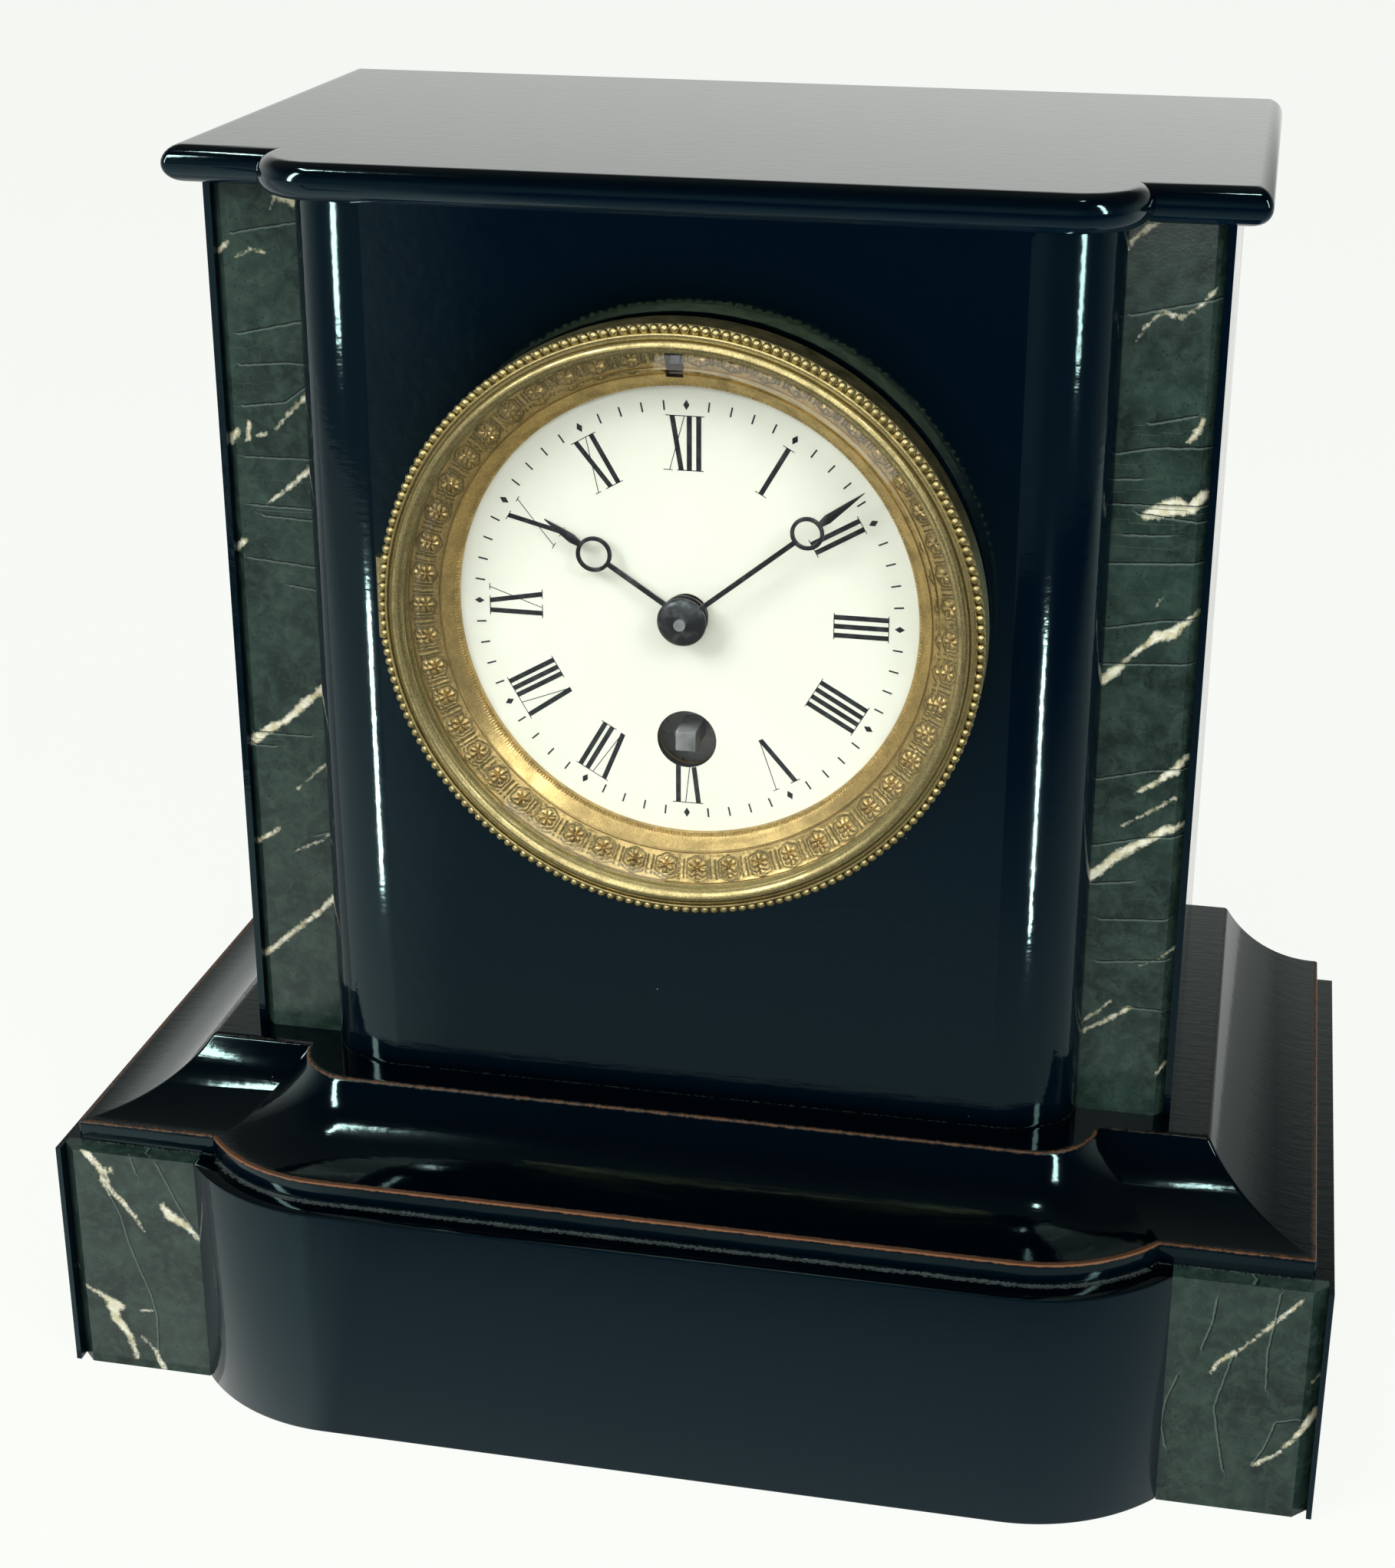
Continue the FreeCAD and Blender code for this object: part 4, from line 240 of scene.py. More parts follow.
def window(name, points, faces, strength, mirrored_by):
    """A bright window pane that only the polished black wood mirrors."""
    light, tree, shader = finish_with(name + "_light")
    bright = add(tree, "Emission", Strength=strength)
    fill(tree.nodes["Material Output"], Surface=bright)
    pane = piece_from(name, points, faces, light, body=None)
    pane.visible_camera = False
    pane.visible_diffuse = False
    pane.visible_shadow = False
    pane.visible_transmission = False
    pane.light_linking.receiver_collection = mirrored_by


for name, (start, slope, breadth, strength) in window_strips.items():
    points = []
    step = (window_heights[1] - window_heights[0]) / window_segments
    for index in range(window_segments):
        low = window_heights[0] + index * step
        for height in (low, low + (1 - window_gap_share) * step):
            away = (start[1] - eye.y) * height / (eye.z - height)
            middle, half = start[0] + slope * away, breadth * away / 2
            points += [(middle + side * half, start[1] - away, strip_height) for side in (-1, 1)]
    strips = [(4 * i, 4 * i + 1, 4 * i + 3, 4 * i + 2) for i in range(window_segments)]
    window(name, points, strips, strength, polished_front)
for name, (place, size, strength) in window_panes.items():
    facing = (Vector(place) - pane_aim).to_track_quat("Z", "Y").to_matrix()
    points = [Vector(place) + facing @ Vector((size[0] * x, size[1] * y, 0))
              for x, y in ((-0.5, -0.5), (0.5, -0.5), (0.5, 0.5), (-0.5, 0.5))]
    window(name, points, [(0, 1, 2, 3)], strength, polished_black)

# Plinth: the block that everything stands on, a bow-fronted nose of solid pearwood between two ends.
# The wood is stained black and French polished, so that it passes for slate; its edges are just eased.

plinth_low, plinth_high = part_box("plinth_front")
panel_low, panel_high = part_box("plinth_panel_right")
moulding_low, moulding_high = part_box("base_moulding")
plinth_bow_centre = 0.060
plinth_bow_radius = 0.0341
plinth_bow_line = plinth_low.y + plinth_bow_radius
plinth_nose_half = panel_low.x
eased_edge = 0.0005
plinth_foot_line = 0.0041
black_stain = "#03192a"
bare_pearwood = "#dd8a4e"
worn_pearwood = "#6b4332"
settled_dust = "#cdd3cf"
polish_ripple = 0.0022
pore_width = 0.00035
thin_span = (0.82, 1.05)
bare_span = (1.02, 1.12)
dust_span = (1.12, 1.35)
speck_spacing = 0.006
speck_reach = 0.022
speck_share = 0.22
shellac_tint = "#c9f5ef"
flat_face_sides = 6


def arc(centre_x, centre_y, radius, start, end, steps=20):
    """Points along an arc in plan, between two angles in degrees."""
    turns = [math.radians(start + (end - start) * i / steps) for i in range(steps + 1)]
    return [(centre_x + radius * math.cos(t), centre_y + radius * math.sin(t)) for t in turns]


def drawn_in(outline, inset):
    """The same closed outline with each side moved inwards by the same distance."""
    moved = []
    for index, here in enumerate(outline):
        before = (Vector(here) - Vector(outline[index - 1])).normalized()
        after = (Vector(outline[(index + 1) % len(outline)]) - Vector(here)).normalized()
        side = Vector((-before.y - after.y, before.x + after.x)) / (1 + before.dot(after))
        moved.append((here[0] + side.x * inset, here[1] + side.y * inset))
    return moved


def both_sides(right_half):
    """A whole outline, counter-clockwise, from its right half drawn from front to back."""
    return [(-x, y) for x, y in reversed(right_half)] + right_half


def smooth(thing, angle=32):
    """Smooth shading, with the edges sharper than an angle in degrees kept crisp."""
    thing.data.shade_smooth()
    thing.data.set_sharp_from_angle(angle=math.radians(angle))
    for face in thing.data.polygons:
        face.use_smooth = len(face.vertices) <= flat_face_sides
    return thing


def closed(thing):
    """Merge doubled points, drop faces with no area and turn every face outwards."""
    work = bmesh.new()
    work.from_mesh(thing.data)
    bmesh.ops.remove_doubles(work, verts=work.verts, dist=1e-7)
    bmesh.ops.dissolve_degenerate(work, edges=work.edges, dist=1e-8)
    bmesh.ops.recalc_face_normals(work, faces=work.faces)
    work.to_mesh(thing.data)
    work.free()
    return thing


def band_faces(rows, count, first=0):
    """Faces that join rows of points, where each row is a closed ring."""
    return [(first + row * count + i, first + row * count + (i + 1) % count,
             first + (row + 1) * count + (i + 1) % count, first + (row + 1) * count + i)
            for row in range(rows) for i in range(count)]


def stacked(name, levels, material, body="case"):
    """A closed solid through level outlines: each level is a height, an outline, its wear and its dust."""
    count = len(levels[0][1])
    points = [(x, y, level[0]) for level in levels for x, y in level[1]]
    faces = band_faces(len(levels) - 1, count)
    faces.append(tuple(reversed(range(count))))
    faces.append(tuple(range((len(levels) - 1) * count, len(levels) * count)))
    thing = piece_from(name, points, faces, material, body)
    for place, label in ((2, "wear"), (3, "dust")):
        marks = thing.data.attributes.new(label, "FLOAT", "POINT")
        for row, level in enumerate(levels):
            amount = level[place] if len(level) > place else 0
            for i in range(count):
                x, y = level[1][i]
                marks.data[row * count + i].value = amount(x, y) if callable(amount) else amount
    return smooth(closed(thing))


def eased(outline, bottom, top, edge=eased_edge):
    """Levels of a block whose top and bottom edges are rounded over."""
    near = edge * (1 - math.sqrt(0.5))
    return [(bottom, drawn_in(outline, edge)), (bottom + near, drawn_in(outline, near)),
            (bottom + edge, outline), (top - edge, outline), (top - near, drawn_in(outline, near)),
            (top, drawn_in(outline, edge))]


def strays(tree, place, spacing, reach, share):
    """Lone specks: 1 close to the middle of a few of many cells, and 0 elsewhere."""
    cells = add(tree, "TexVoronoi", Vector=place, Scale=1 / spacing)
    close = add(tree, "Math", cells.outputs["Distance"], reach, operation="LESS_THAN")
    chance = add(tree, "SeparateColor", Color=cells.outputs["Color"])
    rare = add(tree, "Math", chance, share, operation="LESS_THAN")
    return add(tree, "Math", close, rare, operation="MULTIPLY")


def ebonised(name, roughness=0.075):
    """Black stained wood under shellac: almost no colour of its own, soft reflections, rubbed edges."""
    material, tree, shader = finish_with(name, Specular_Tint=shellac_tint)
    place = add(tree, "TexCoord").outputs["Object"]
    grain_place = add(tree, "Mapping", Vector=place, Scale=(0.12, 1.0, 1.0))
    grain = add(tree, "TexNoise", Vector=grain_place, Scale=1 / pore_width / 3, Detail=4.0)
    ripple = add(tree, "TexNoise", Vector=place, Scale=1 / polish_ripple, Detail=2.0)
    patches = add(tree, "TexNoise", Vector=place, Scale=1 / (polish_ripple * 12), Detail=4.0)
    speck = strays(tree, place, speck_spacing, speck_reach, speck_share)
    fibres = add(tree, "TexNoise", Vector=place, Scale=1 / (pore_width * 3), Detail=6.0, Roughness=0.7)
    worn = add(tree, "Attribute", attribute_name="wear")
    rubbed = add(tree, "Math", fibres, 0.9, worn.outputs["Fac"], operation="MULTIPLY_ADD")
    bare = add(tree, "MapRange", rubbed, *bare_span)
    thin = add(tree, "MapRange", rubbed, *thin_span)
    dusty = add(tree, "Attribute", attribute_name="dust")
    crumbs = add(tree, "TexNoise", Vector=place, Scale=1 / pore_width / 1.4, Detail=3.0)
    lying = add(tree, "Math", crumbs, dusty.outputs["Fac"], operation="ADD")
    dust = add(tree, "MapRange", lying, *dust_span)
    stain = add(tree, "MixRGB", thin, black_stain, worn_pearwood)
    wood = add(tree, "MixRGB", bare, stain, bare_pearwood)
    marked = add(tree, "Math", dust, speck, operation="MAXIMUM")
    colour = add(tree, "MixRGB", marked, wood, settled_dust)
    matt = add(tree, "Math", thin, dust, operation="MAXIMUM")
    gloss = add(tree, "MapRange", patches, 0.3, 0.7, roughness * 0.8, roughness * 1.25)
    dull = add(tree, "Mix", matt, None, gloss, 0.6)
    relief = add(tree, "Math", ripple, grain, operation="ADD")
    bump = add(tree, "Bump", Strength=0.35, Distance=0.00005, Height=relief)
    fill(shader, Base_Color=colour, Roughness=dull, Normal=bump)
    return material


def coat(material, *names):
    """Give nodes of the solid model, whose shape is kept, their real finish."""
    for name in names:
        nodes[name].data.materials[0] = material


black_wood = ebonised("ebonised_pearwood")
rear_wood = ebonised("ebonised_pearwood_satin", roughness=0.2)
nose_turn = math.degrees(math.asin((plinth_bow_line - panel_low.y) / plinth_bow_radius))
plinth_outline = both_sides(
    arc(plinth_bow_centre, plinth_bow_line, plinth_bow_radius, -90, -nose_turn, 28) +
    [(plinth_nose_half, panel_high.y), (plinth_high.x, panel_high.y), (plinth_high.x, plinth_high.y)])
plinth_levels = eased(plinth_outline, plinth_low.z, plinth_high.z)
for share, dust in ((0.6, 0.0), (0.85, 0.75), (1.1, 1.0)):
    plinth_levels.append((plinth_high.z, drawn_in(plinth_outline, plinth_foot_line * share), 0, dust))
plinth_nose = stacked("plinth_nose", plinth_levels, black_wood)
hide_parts("plinth_front")
coat(black_wood, "plinth_left", "plinth_right", "case_side_left", "case_side_right")
coat(rear_wood, "plinth_back", "case_back")

# Base moulding: a cove worked over a square fillet, mitred round the ends and round the bow.
# Years of dusting have rubbed its two sharp edges back to the reddish wood under the stain.

cove_radius = 0.0208
cove_run = 0.0174
moulding_run = 0.0189
fillet_height = 0.004
moulding_top_half = moulding_high.x - moulding_run
moulding_bow = 0.0111
moulding_line = moulding_low.y + moulding_bow + moulding_run
corner_round = 0.0006


def bowed(half, line, centre_x, bow, grow, back, corner=corner_round):
    """Half the plan of a bow-fronted layer that stands out by `grow` from its own edge line."""
    reach, front, radius = half + grow, line - grow, bow + grow
    lift = math.degrees(math.asin(grow / radius))
    return (arc(centre_x, line, radius, -90, -lift, 20) +
            arc(reach - corner, front + corner, corner, -90, 0, 4) + [(reach, back)])


def moulding_level(grow, height, wear=0.0, dust=0.0):
    """One level of the base moulding; its bow is rubbed more than its ends."""
    plan = both_sides(bowed(moulding_top_half, moulding_line, plinth_bow_centre, moulding_bow, grow,
                            moulding_high.y))
    return height, plan, lambda x, y: wear * (1.0 if y < moulding_line - grow - 0.001 else 0.72), dust


ledge = moulding_low.z + fillet_height
chord = Vector((-cove_run, moulding_high.z - ledge))
cove_middle = Vector((cove_run / 2, (moulding_high.z + ledge) / 2))
cove_centre = cove_middle + Vector((chord.y, -chord.x)).normalized() * math.sqrt(
    cove_radius ** 2 - (chord.length / 2) ** 2)
moulding_levels = [
    moulding_level(moulding_run - 0.0002, moulding_low.z, 0, 0.8),
    moulding_level(moulding_run, ledge - 0.0036, 0, 0.55),
    moulding_level(moulding_run, ledge - 0.0030), moulding_level(moulding_run, ledge - 0.0008),
    moulding_level(moulding_run - 0.00005, ledge - 0.0004, 0.55),
    moulding_level(moulding_run - 0.0002, ledge - 0.0001, 0.96),
    moulding_level(moulding_run - 0.0005, ledge, 0.92), moulding_level(moulding_run - 0.0009, ledge, 0.62)]
sweep_start = math.degrees(math.atan2(ledge - cove_centre.y, cove_run - cove_centre.x))
sweep_end = math.degrees(math.atan2(moulding_high.z - cove_centre.y, -cove_centre.x))
cove_points = arc(cove_centre.x, cove_centre.y, cove_radius, sweep_start, sweep_end, 18)
moulding_levels += [moulding_level(grow, height) for grow, height in cove_points[:-1]]
moulding_levels += [
    moulding_level(0.0003, moulding_high.z - 0.0005, 0.3),
    moulding_level(0, moulding_high.z - 0.00015, 0.72), moulding_level(-0.0004, moulding_high.z, 0.55),
    moulding_level(-0.0009, moulding_high.z, 0.2), moulding_level(-0.004, moulding_high.z)]
moulding = stacked("base_cove", moulding_levels, black_wood)
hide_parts("base_moulding")

# Front board: the bow-fronted face of the case, with its two upright corners rounded over.
# It has the bore that the dial sits in; the polish on it is the best on the clock.

front_low, front_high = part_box("case_front")
dial_centre = Vector((0, 0.1482))
bore_radius = 0.0446
corner_deep = 0.010
corner_wide = 0.0139
bore_steps = 96
bore_overrun = 0.01
front_edge = 0.0002
front_dust_top = 0.0007
corner_turns = [math.radians(90 * i / 28) for i in range(29)]
front_half = both_sides([(front_high.x - corner_wide * (1 - math.sin(turn)),
                          front_low.y + corner_deep * (1 - math.cos(turn))) for turn in corner_turns] +
                        [(front_high.x, front_high.y)])
front_levels = eased(front_half, front_low.z, front_high.z, front_edge)
for index, dust in enumerate((1.0, 0.75, 0.5)):
    front_levels[index] += (0, dust)
front_levels.insert(3, (front_low.z + front_dust_top, front_half))
front_board = stacked("front_board", front_levels, black_wood)


def pierced(thing, *cutters):
    """Take cutters away from a piece and apply the result."""
    for cutter in cutters:
        hollow = thing.modifiers.new(cutter.name, "BOOLEAN")
        hollow.object = cutter
        hollow.operation = "DIFFERENCE"
        hollow.solver = "EXACT"
    shaped = bpy.data.meshes.new_from_object(thing.evaluated_get(bpy.context.evaluated_depsgraph_get()))
    thing.modifiers.clear()
    thing.data = shaped
    for cutter in cutters:
        bpy.data.objects.remove(cutter)
    return thing


def prism(name, outline, front, back, material=None):
    """A cutter with an outline seen from the front, between two depths."""
    count = len(outline)
    faces = band_faces(1, count) + [tuple(reversed(range(count))), tuple(range(count, 2 * count))]
    cutter = piece_from(name, [(x, y, z) for y in (front, back) for x, z in outline], faces,
                        material or black_wood, body=None)
    return closed(cutter)


def round_outline(radius, centre_z, steps):
    """A circle seen from the front, about a point on the clock's middle line."""
    return arc(0, centre_z, radius, 0, 360, steps)[:-1]


bore = prism("bore", round_outline(bore_radius, dial_centre.y, bore_steps), front_low.y - bore_overrun,
             front_high.y + bore_overrun)
smooth(pierced(front_board, bore))
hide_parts("case_front")

# Cap: a thin slab with a full half-round nose that follows the bow of the case.
# It was polished in long strokes from end to end, and a few small marks show in the shine.

cap_low, cap_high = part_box("cap_slab")
cap_bow = 0.0119
cap_bow_centre = 0.059
cap_line = cap_low.y + cap_bow
cap_half = cap_high.x
nose_radius = 0.00305
nose_steps = 14
cap_flat_start = 0.0008


def cap_level(share):
    """One level of the cap's half-round nose, from 0 at its underside to 1 at its top."""
    rise = (share - 0.5) * (cap_high.z - cap_low.z)
    grow = math.sqrt(nose_radius ** 2 - rise ** 2) - nose_radius
    height = cap_low.z + share * (cap_high.z - cap_low.z)
    return height, both_sides(bowed(cap_half, cap_line, cap_bow_centre, cap_bow, grow, cap_high.y, 0.0012))


cap_levels = [cap_level(0.5 - 0.5 * math.cos(math.pi * i / nose_steps)) for i in range(nose_steps + 1)]
cap_levels.append((cap_high.z, drawn_in(cap_levels[-1][1], cap_flat_start)))
cap = stacked("cap_board", cap_levels, black_wood)
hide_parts("cap_slab")

# Marble slips: four pieces of polished green serpentine let into the front, bevelled down the outer edge.
# The stone is dark and cloudy, with pale calcite veins that all lean one way and fine dark cracks.

marble_dark = "#15231f"
marble_mid = "#24352f"
marble_light = "#394d44"
marble_fleck = "#141e1b"
calcite = "#cfd0bd"
calcite_stain = "#a79f76"
# The colour of the painted highlight that runs along one side of each crack.
crack_colour = "#0a1110"
crack_highlight_colour = "#5d7067"
cloud_size = 0.009
fleck_size = 0.0011
marble_step = 0.0005
per_metre = 1000
vein_edge = 0.0007
vein_fade = 0.0013
vein_ragged = 0.0011
crack_wander = 0.0006
stone_grain = 0.0005
crack_half = 0.00011


def green_marble(name):
    """Polished serpentine: clouds of green, dark flecks, pale veins and cracks where they are laid out, each
    crack with a painted highlight along one side.
    """
    material, tree, shader = finish_with(name, Roughness=0.16)
    place = add(tree, "TexCoord").outputs["Object"]
    clouds = add(tree, "TexNoise", Vector=place, Scale=1 / cloud_size, Detail=8.0, Roughness=0.62)
    wisps = add(tree, "TexNoise", Vector=place, Scale=4 / cloud_size, Detail=6.0, Roughness=0.7,
                Distortion=0.6)
    cloud = add(tree, "MapRange", clouds, 0.36, 0.62)
    wisp = add(tree, "MapRange", wisps, 0.45, 0.72, None, 0.5)
    green = add(tree, "MixRGB", cloud, marble_dark, marble_mid)
    stone = add(tree, "MixRGB", wisp, green, marble_light)
    dots = add(tree, "TexVoronoi", Vector=place, Scale=1 / fleck_size)
    scatter = add(tree, "TexNoise", Vector=place, Scale=1.4 / cloud_size, Detail=3.0)
    dotted = add(tree, "Math", scatter, 0.42, dots.outputs["Distance"], operation="MULTIPLY_ADD")
    fleck = add(tree, "MapRange", dotted, 0.40, 0.30, None, 0.7)
    flecked = add(tree, "MixRGB", fleck, stone, marble_fleck)
    ragged = add(tree, "TexNoise", Vector=place, Scale=1 / vein_ragged, Detail=7.0, Roughness=0.75)
    line = add(tree, "Attribute", attribute_name="vein")
    edge = add(tree, "Math", ragged, vein_ragged * 2, line.outputs["Fac"], operation="MULTIPLY_ADD")
    vein = add(tree, "MapRange", edge, vein_fade, vein_edge)
    tint = add(tree, "MapRange", wisps, 0.4, 0.65)
    pale = add(tree, "MixRGB", tint, calcite, calcite_stain)
    veined = add(tree, "MixRGB", vein, flecked, pale)
    split = add(tree, "Attribute", attribute_name="crack")
    wander = add(tree, "Math", ragged, crack_wander, split.outputs["Fac"], operation="MULTIPLY_ADD")
    centred = add(tree, "Math", wander, crack_wander / 2, operation="SUBTRACT")
    apart = add(tree, "Math", centred, operation="ABSOLUTE")
    crack = add(tree, "MapRange", apart, crack_half * 1.6, crack_half * 0.8, None, 0.85)
    # A paler line beside each crack, on one side only, is a painted highlight of the crack's lit edge.
    highlight_offset = add(tree, "Math", centred, crack_half * 2.6, operation="ADD")
    highlight_gap = add(tree, "Math", highlight_offset, operation="ABSOLUTE")
    crack_highlight = add(tree, "MapRange", highlight_gap, crack_half * 1.8, crack_half * 0.8, None, 0.45)
    highlighted = add(tree, "MixRGB", crack_highlight, veined, crack_highlight_colour)
    colour = add(tree, "MixRGB", crack, highlighted, crack_colour)
    fine = add(tree, "TexNoise", Vector=place, Scale=1 / stone_grain, Detail=3.0)
    sunk = add(tree, "Math", crack, -2.0, fine, operation="MULTIPLY_ADD")
    bump = add(tree, "Bump", Strength=0.2, Distance=0.00005, Height=sunk)
    fill(shader, Base_Color=colour, Normal=bump)
    return material


def nearest(x, z, routes):
    """The signed distance from a point to the nearest of some routes, less half the width there."""
    best, across = 0.05, 0.05
    for route in routes:
        for (x0, z0, half0), (x1, z1, half1) in zip(route, route[1:]):
            way = Vector((x1 - x0, z1 - z0))
            off = Vector((x - x0, z - z0))
            along = max(0.0, min(1.0, off.dot(way) / way.length_squared))
            gap = (off - way * along).length - (half0 + (half1 - half0) * along)
            if gap < best:
                best = gap
                across = math.copysign(abs(gap), way.x * off.y - way.y * off.x)
    return best, across


def slip(name, node, side, bevel, veins, cracks):
    """One marble slip, with a fine mesh that carries how far each point lies from a vein and a crack."""
    low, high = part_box(node)
    inner, outer = (low.x, high.x) if side > 0 else (high.x, low.x)
    across = max(2, round((abs(outer - inner) - bevel) / marble_step))
    front = [(inner + side * (abs(outer - inner) - bevel) * i / across, low.y) for i in range(across + 1)]
    slope = [(outer - side * bevel * (1 - i / 4), low.y + bevel * i / 4) for i in range(1, 5)]
    plan = front + slope + [(outer, high.y), (inner, high.y)]
    if side < 0:
        plan.reverse()
    up_steps = round((high.z - low.z) / marble_step)
    levels = [(low.z + (high.z - low.z) * i / up_steps, plan) for i in range(up_steps + 1)]
    thing = stacked(name, levels, marble)
    for label, routes, pick in (("vein", veins, 0), ("crack", cracks, 1)):
        size = 3 - pick
        scaled = [[(route[i] / per_metre, route[i + 1] / per_metre, 0 if pick else route[i + 2] / per_metre)
                   for i in range(0, len(route), size)] for route in routes]
        marks = thing.data.attributes.new(label, "FLOAT", "POINT")
        for index, vertex in enumerate(thing.data.vertices):
            marks.data[index].value = nearest(vertex.co.x, vertex.co.z, scaled)[pick]
    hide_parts(node)
    return thing


marble = green_marble("green_serpentine")
base_bevel = 0.0024
pilaster_bevel = 0.0016
# Each route gives places across and up in millimetres, and for a vein half its width there.
left_base_veins = [
    (-106.5, 44.8, 0.8, -104, 41.8, 0.6, -103.2, 38.5, 0.45, -102.3, 36.3, 0.2),
    (-102.8, 41.8, 0.3, -102.6, 38, 0.4, -100.5, 35.6, 0.5, -98, 32.3, 0.35, -96.3, 29.3, 0.1),
    (-92.6, 35.6, 0.4, -91.3, 33.5, 1, -88.4, 31.8, 0.7, -86, 29.3, 0.4, -84.7, 28.3, 0.4),
    (-109.2, 16.4, 0.2, -106.7, 15.2, 0.4, -104.7, 13.9, 0.8, -102.2, 12.7, 0.7),
    (-103.8, 12.7, 1.2, -103.5, 10, 0.9, -101, 6.5, 0.6, -100, 2, 0.4),
    (-99.2, 7.2, 0.1, -96.3, 4, 0.3, -95, 0.4, 0.6), (-98.4, 12.2, 0.1, -96.3, 12.7, 0.2),
    (-111, 19.2, 0.2, -110.8, 18.9, 0.2), (-101.8, 41.8, 0.3, -101.6, 41.2, 0.3)]
left_base_cracks = [
    (-92.8, 44, -91.3, 40.6, -89.7, 36.8, -88, 33.5, -84.3, 28.1), (-97.6, 44.3, -96.8, 41.4),
    (-102.6, 37.3, -100.5, 32.3, -99.3, 26.4, -97.6, 21, -95.9, 16, -95.1, 11.4, -95.5, 4.3)]
right_base_veins = [
    (93.2, 26.8, 0.1, 94.6, 29.5, 0.35, 96.9, 31.4, 0.45),
    (97.6, 31.9, 0.1, 99.8, 34.3, 0.15, 102.3, 37.3, 0.35, 104.4, 39.8, 0.3, 107.1, 43.1, 0.25),
    (101.9, 9.8, 0.4, 105.3, 12.3, 0.25, 108.2, 16.4, 0.3, 109.8, 18.5, 0.9, 111.2, 20.6, 0.7),
    (109.8, 26.4, 0.1, 111.2, 27.7, 0.2)]
right_base_cracks = [
    (93.6, 41.4, 93.2, 36.8, 91.7, 31.4), (103.8, 43.9, 103, 36.4, 102.5, 32.3, 102.8, 25.2),
    (96.9, 30.6, 95.3, 23.5, 94.6, 20.2, 95.3, 16, 96.1, 11.8, 96.9, 7.9),
    (108.2, 19.5, 104.8, 18.5, 104.2, 16, 103.2, 12.7, 101.9, 10.2),
    (88.2, 25.6, 86.5, 20.2, 86.1, 16, 86.9, 11.4)]
left_pilaster_veins = [
    (-71.8, 208.8, 0.1, -70.5, 211.5, 0.3, -69.5, 211.3, 0.8, -67, 210.3, 1),
    (-81.5, 201.5, 0.3, -79.5, 203.3, 0.3), (-78, 201, 0.1, -75.5, 202.3, 0.2, -73, 201.8, 0.1),
    (-73, 172, 0.05, -69.5, 176, 0.35, -66.7, 178.5, 0.4), (-81.5, 169.5, 0.9, -79.8, 171.3, 0.5),
    (-78, 170, 0.4, -77.6, 173, 0.3), (-76.5, 170.8, 0.1, -74.8, 171.2, 0.3),
    (-75.3, 159, 0.1, -72.5, 161, 0.25, -69, 164, 0.4, -66.5, 166, 0.6),
    (-81.7, 150.2, 0.6, -79.8, 152.2, 0.4),
    (-82, 114, 0.6, -80, 115.7, 0.9, -77, 118, 0.7, -74, 119.7, 0.6, -70.5, 123.2, 0.7, -68.5, 124.8, 0.6,
     -66.6, 126.5, 0.9), (-73, 106.5, 0.05, -70, 109.5, 0.1, -67, 112, 0.15),
    (-82.5, 94.5, 0.4, -79.8, 96.5, 0.3, -77, 98.5, 0.35), (-74, 94.5, 0.02, -69, 97, 0.15, -66.8, 99, 0.1),
    (-82.5, 72, 0.6, -79, 75, 0.5, -74, 79.5, 0.35, -70, 83, 0.4, -67, 86.3, 0.5)]
left_pilaster_cracks = [
    (-78.5, 205, -74, 206, -66.7, 207.3), (-78.5, 188.3, -66.7, 191), (-78.5, 183, -70, 183.8, -66.7, 183.6),
    (-78.5, 176, -71, 177, -66.7, 180.3), (-78.5, 167.2, -66.7, 167.4), (-78, 158.8, -67, 158.6),
    (-76, 157, -67, 156.6), (-79, 149.3, -67, 148.3), (-72, 144.8, -67, 144.2), (-81, 117, -70, 117),
    (-82, 114.5, -76.5, 114.6), (-70, 98, -66.7, 99.2)]
right_pilaster_veins = [
    (66.9, 208.6, 0.2, 67.5, 210, 0.35, 69.5, 212, 0.25, 71, 212.7, 0.3),
    (69, 194.5, 0.05, 70, 196.5, 0.15, 71.5, 198, 0.1, 72.5, 199.3, 0.2, 74, 198.8, 0.3, 75.5, 198.5, 0.25,
     78, 200, 0.15, 80.5, 203, 0.3), (78, 179, 0.3, 79, 180, 0.4, 80, 182.5, 0.3),
    (72, 166.5, 0.6, 74, 167.3, 1.2, 76.5, 168.3, 1.5, 79, 167.9, 0.9, 81, 170.3, 0.8),
    (66.9, 138.2, 0.8, 69, 140.2, 0.8, 71, 142.5, 0.3, 73, 144.5, 0.4, 75.5, 146.5, 0.9, 77.5, 147, 0.8,
     79.5, 149, 0.5, 81.3, 150.7, 0.4), (74.5, 151, 0.05, 75.5, 152.8, 0.1),
    (73, 118.5, 0.1, 76, 120.5, 0.4, 77.5, 121.8, 0.4, 79.5, 123.3, 0.8, 81.3, 125.5, 0.5),
    (71.5, 112.8, 0.05, 76.5, 116, 0.2, 80, 118.6, 0.15),
    (66.9, 103, 0.8, 68.5, 104.6, 0.8, 72, 108, 0.8, 76, 110.6, 0.6, 78.5, 112.6, 0.7, 81.6, 113.6, 0.4),
    (76, 87.2, 0.02, 79, 88.8, 0.1, 81.6, 90.8, 0.2), (66.9, 75.6, 0.05, 71.5, 80, 0.15),
    (67, 73.8, 0.2, 70.5, 76, 0.2, 75, 79.3, 0.25), (80, 66.9, 0.1, 81.6, 68.8, 0.3)]
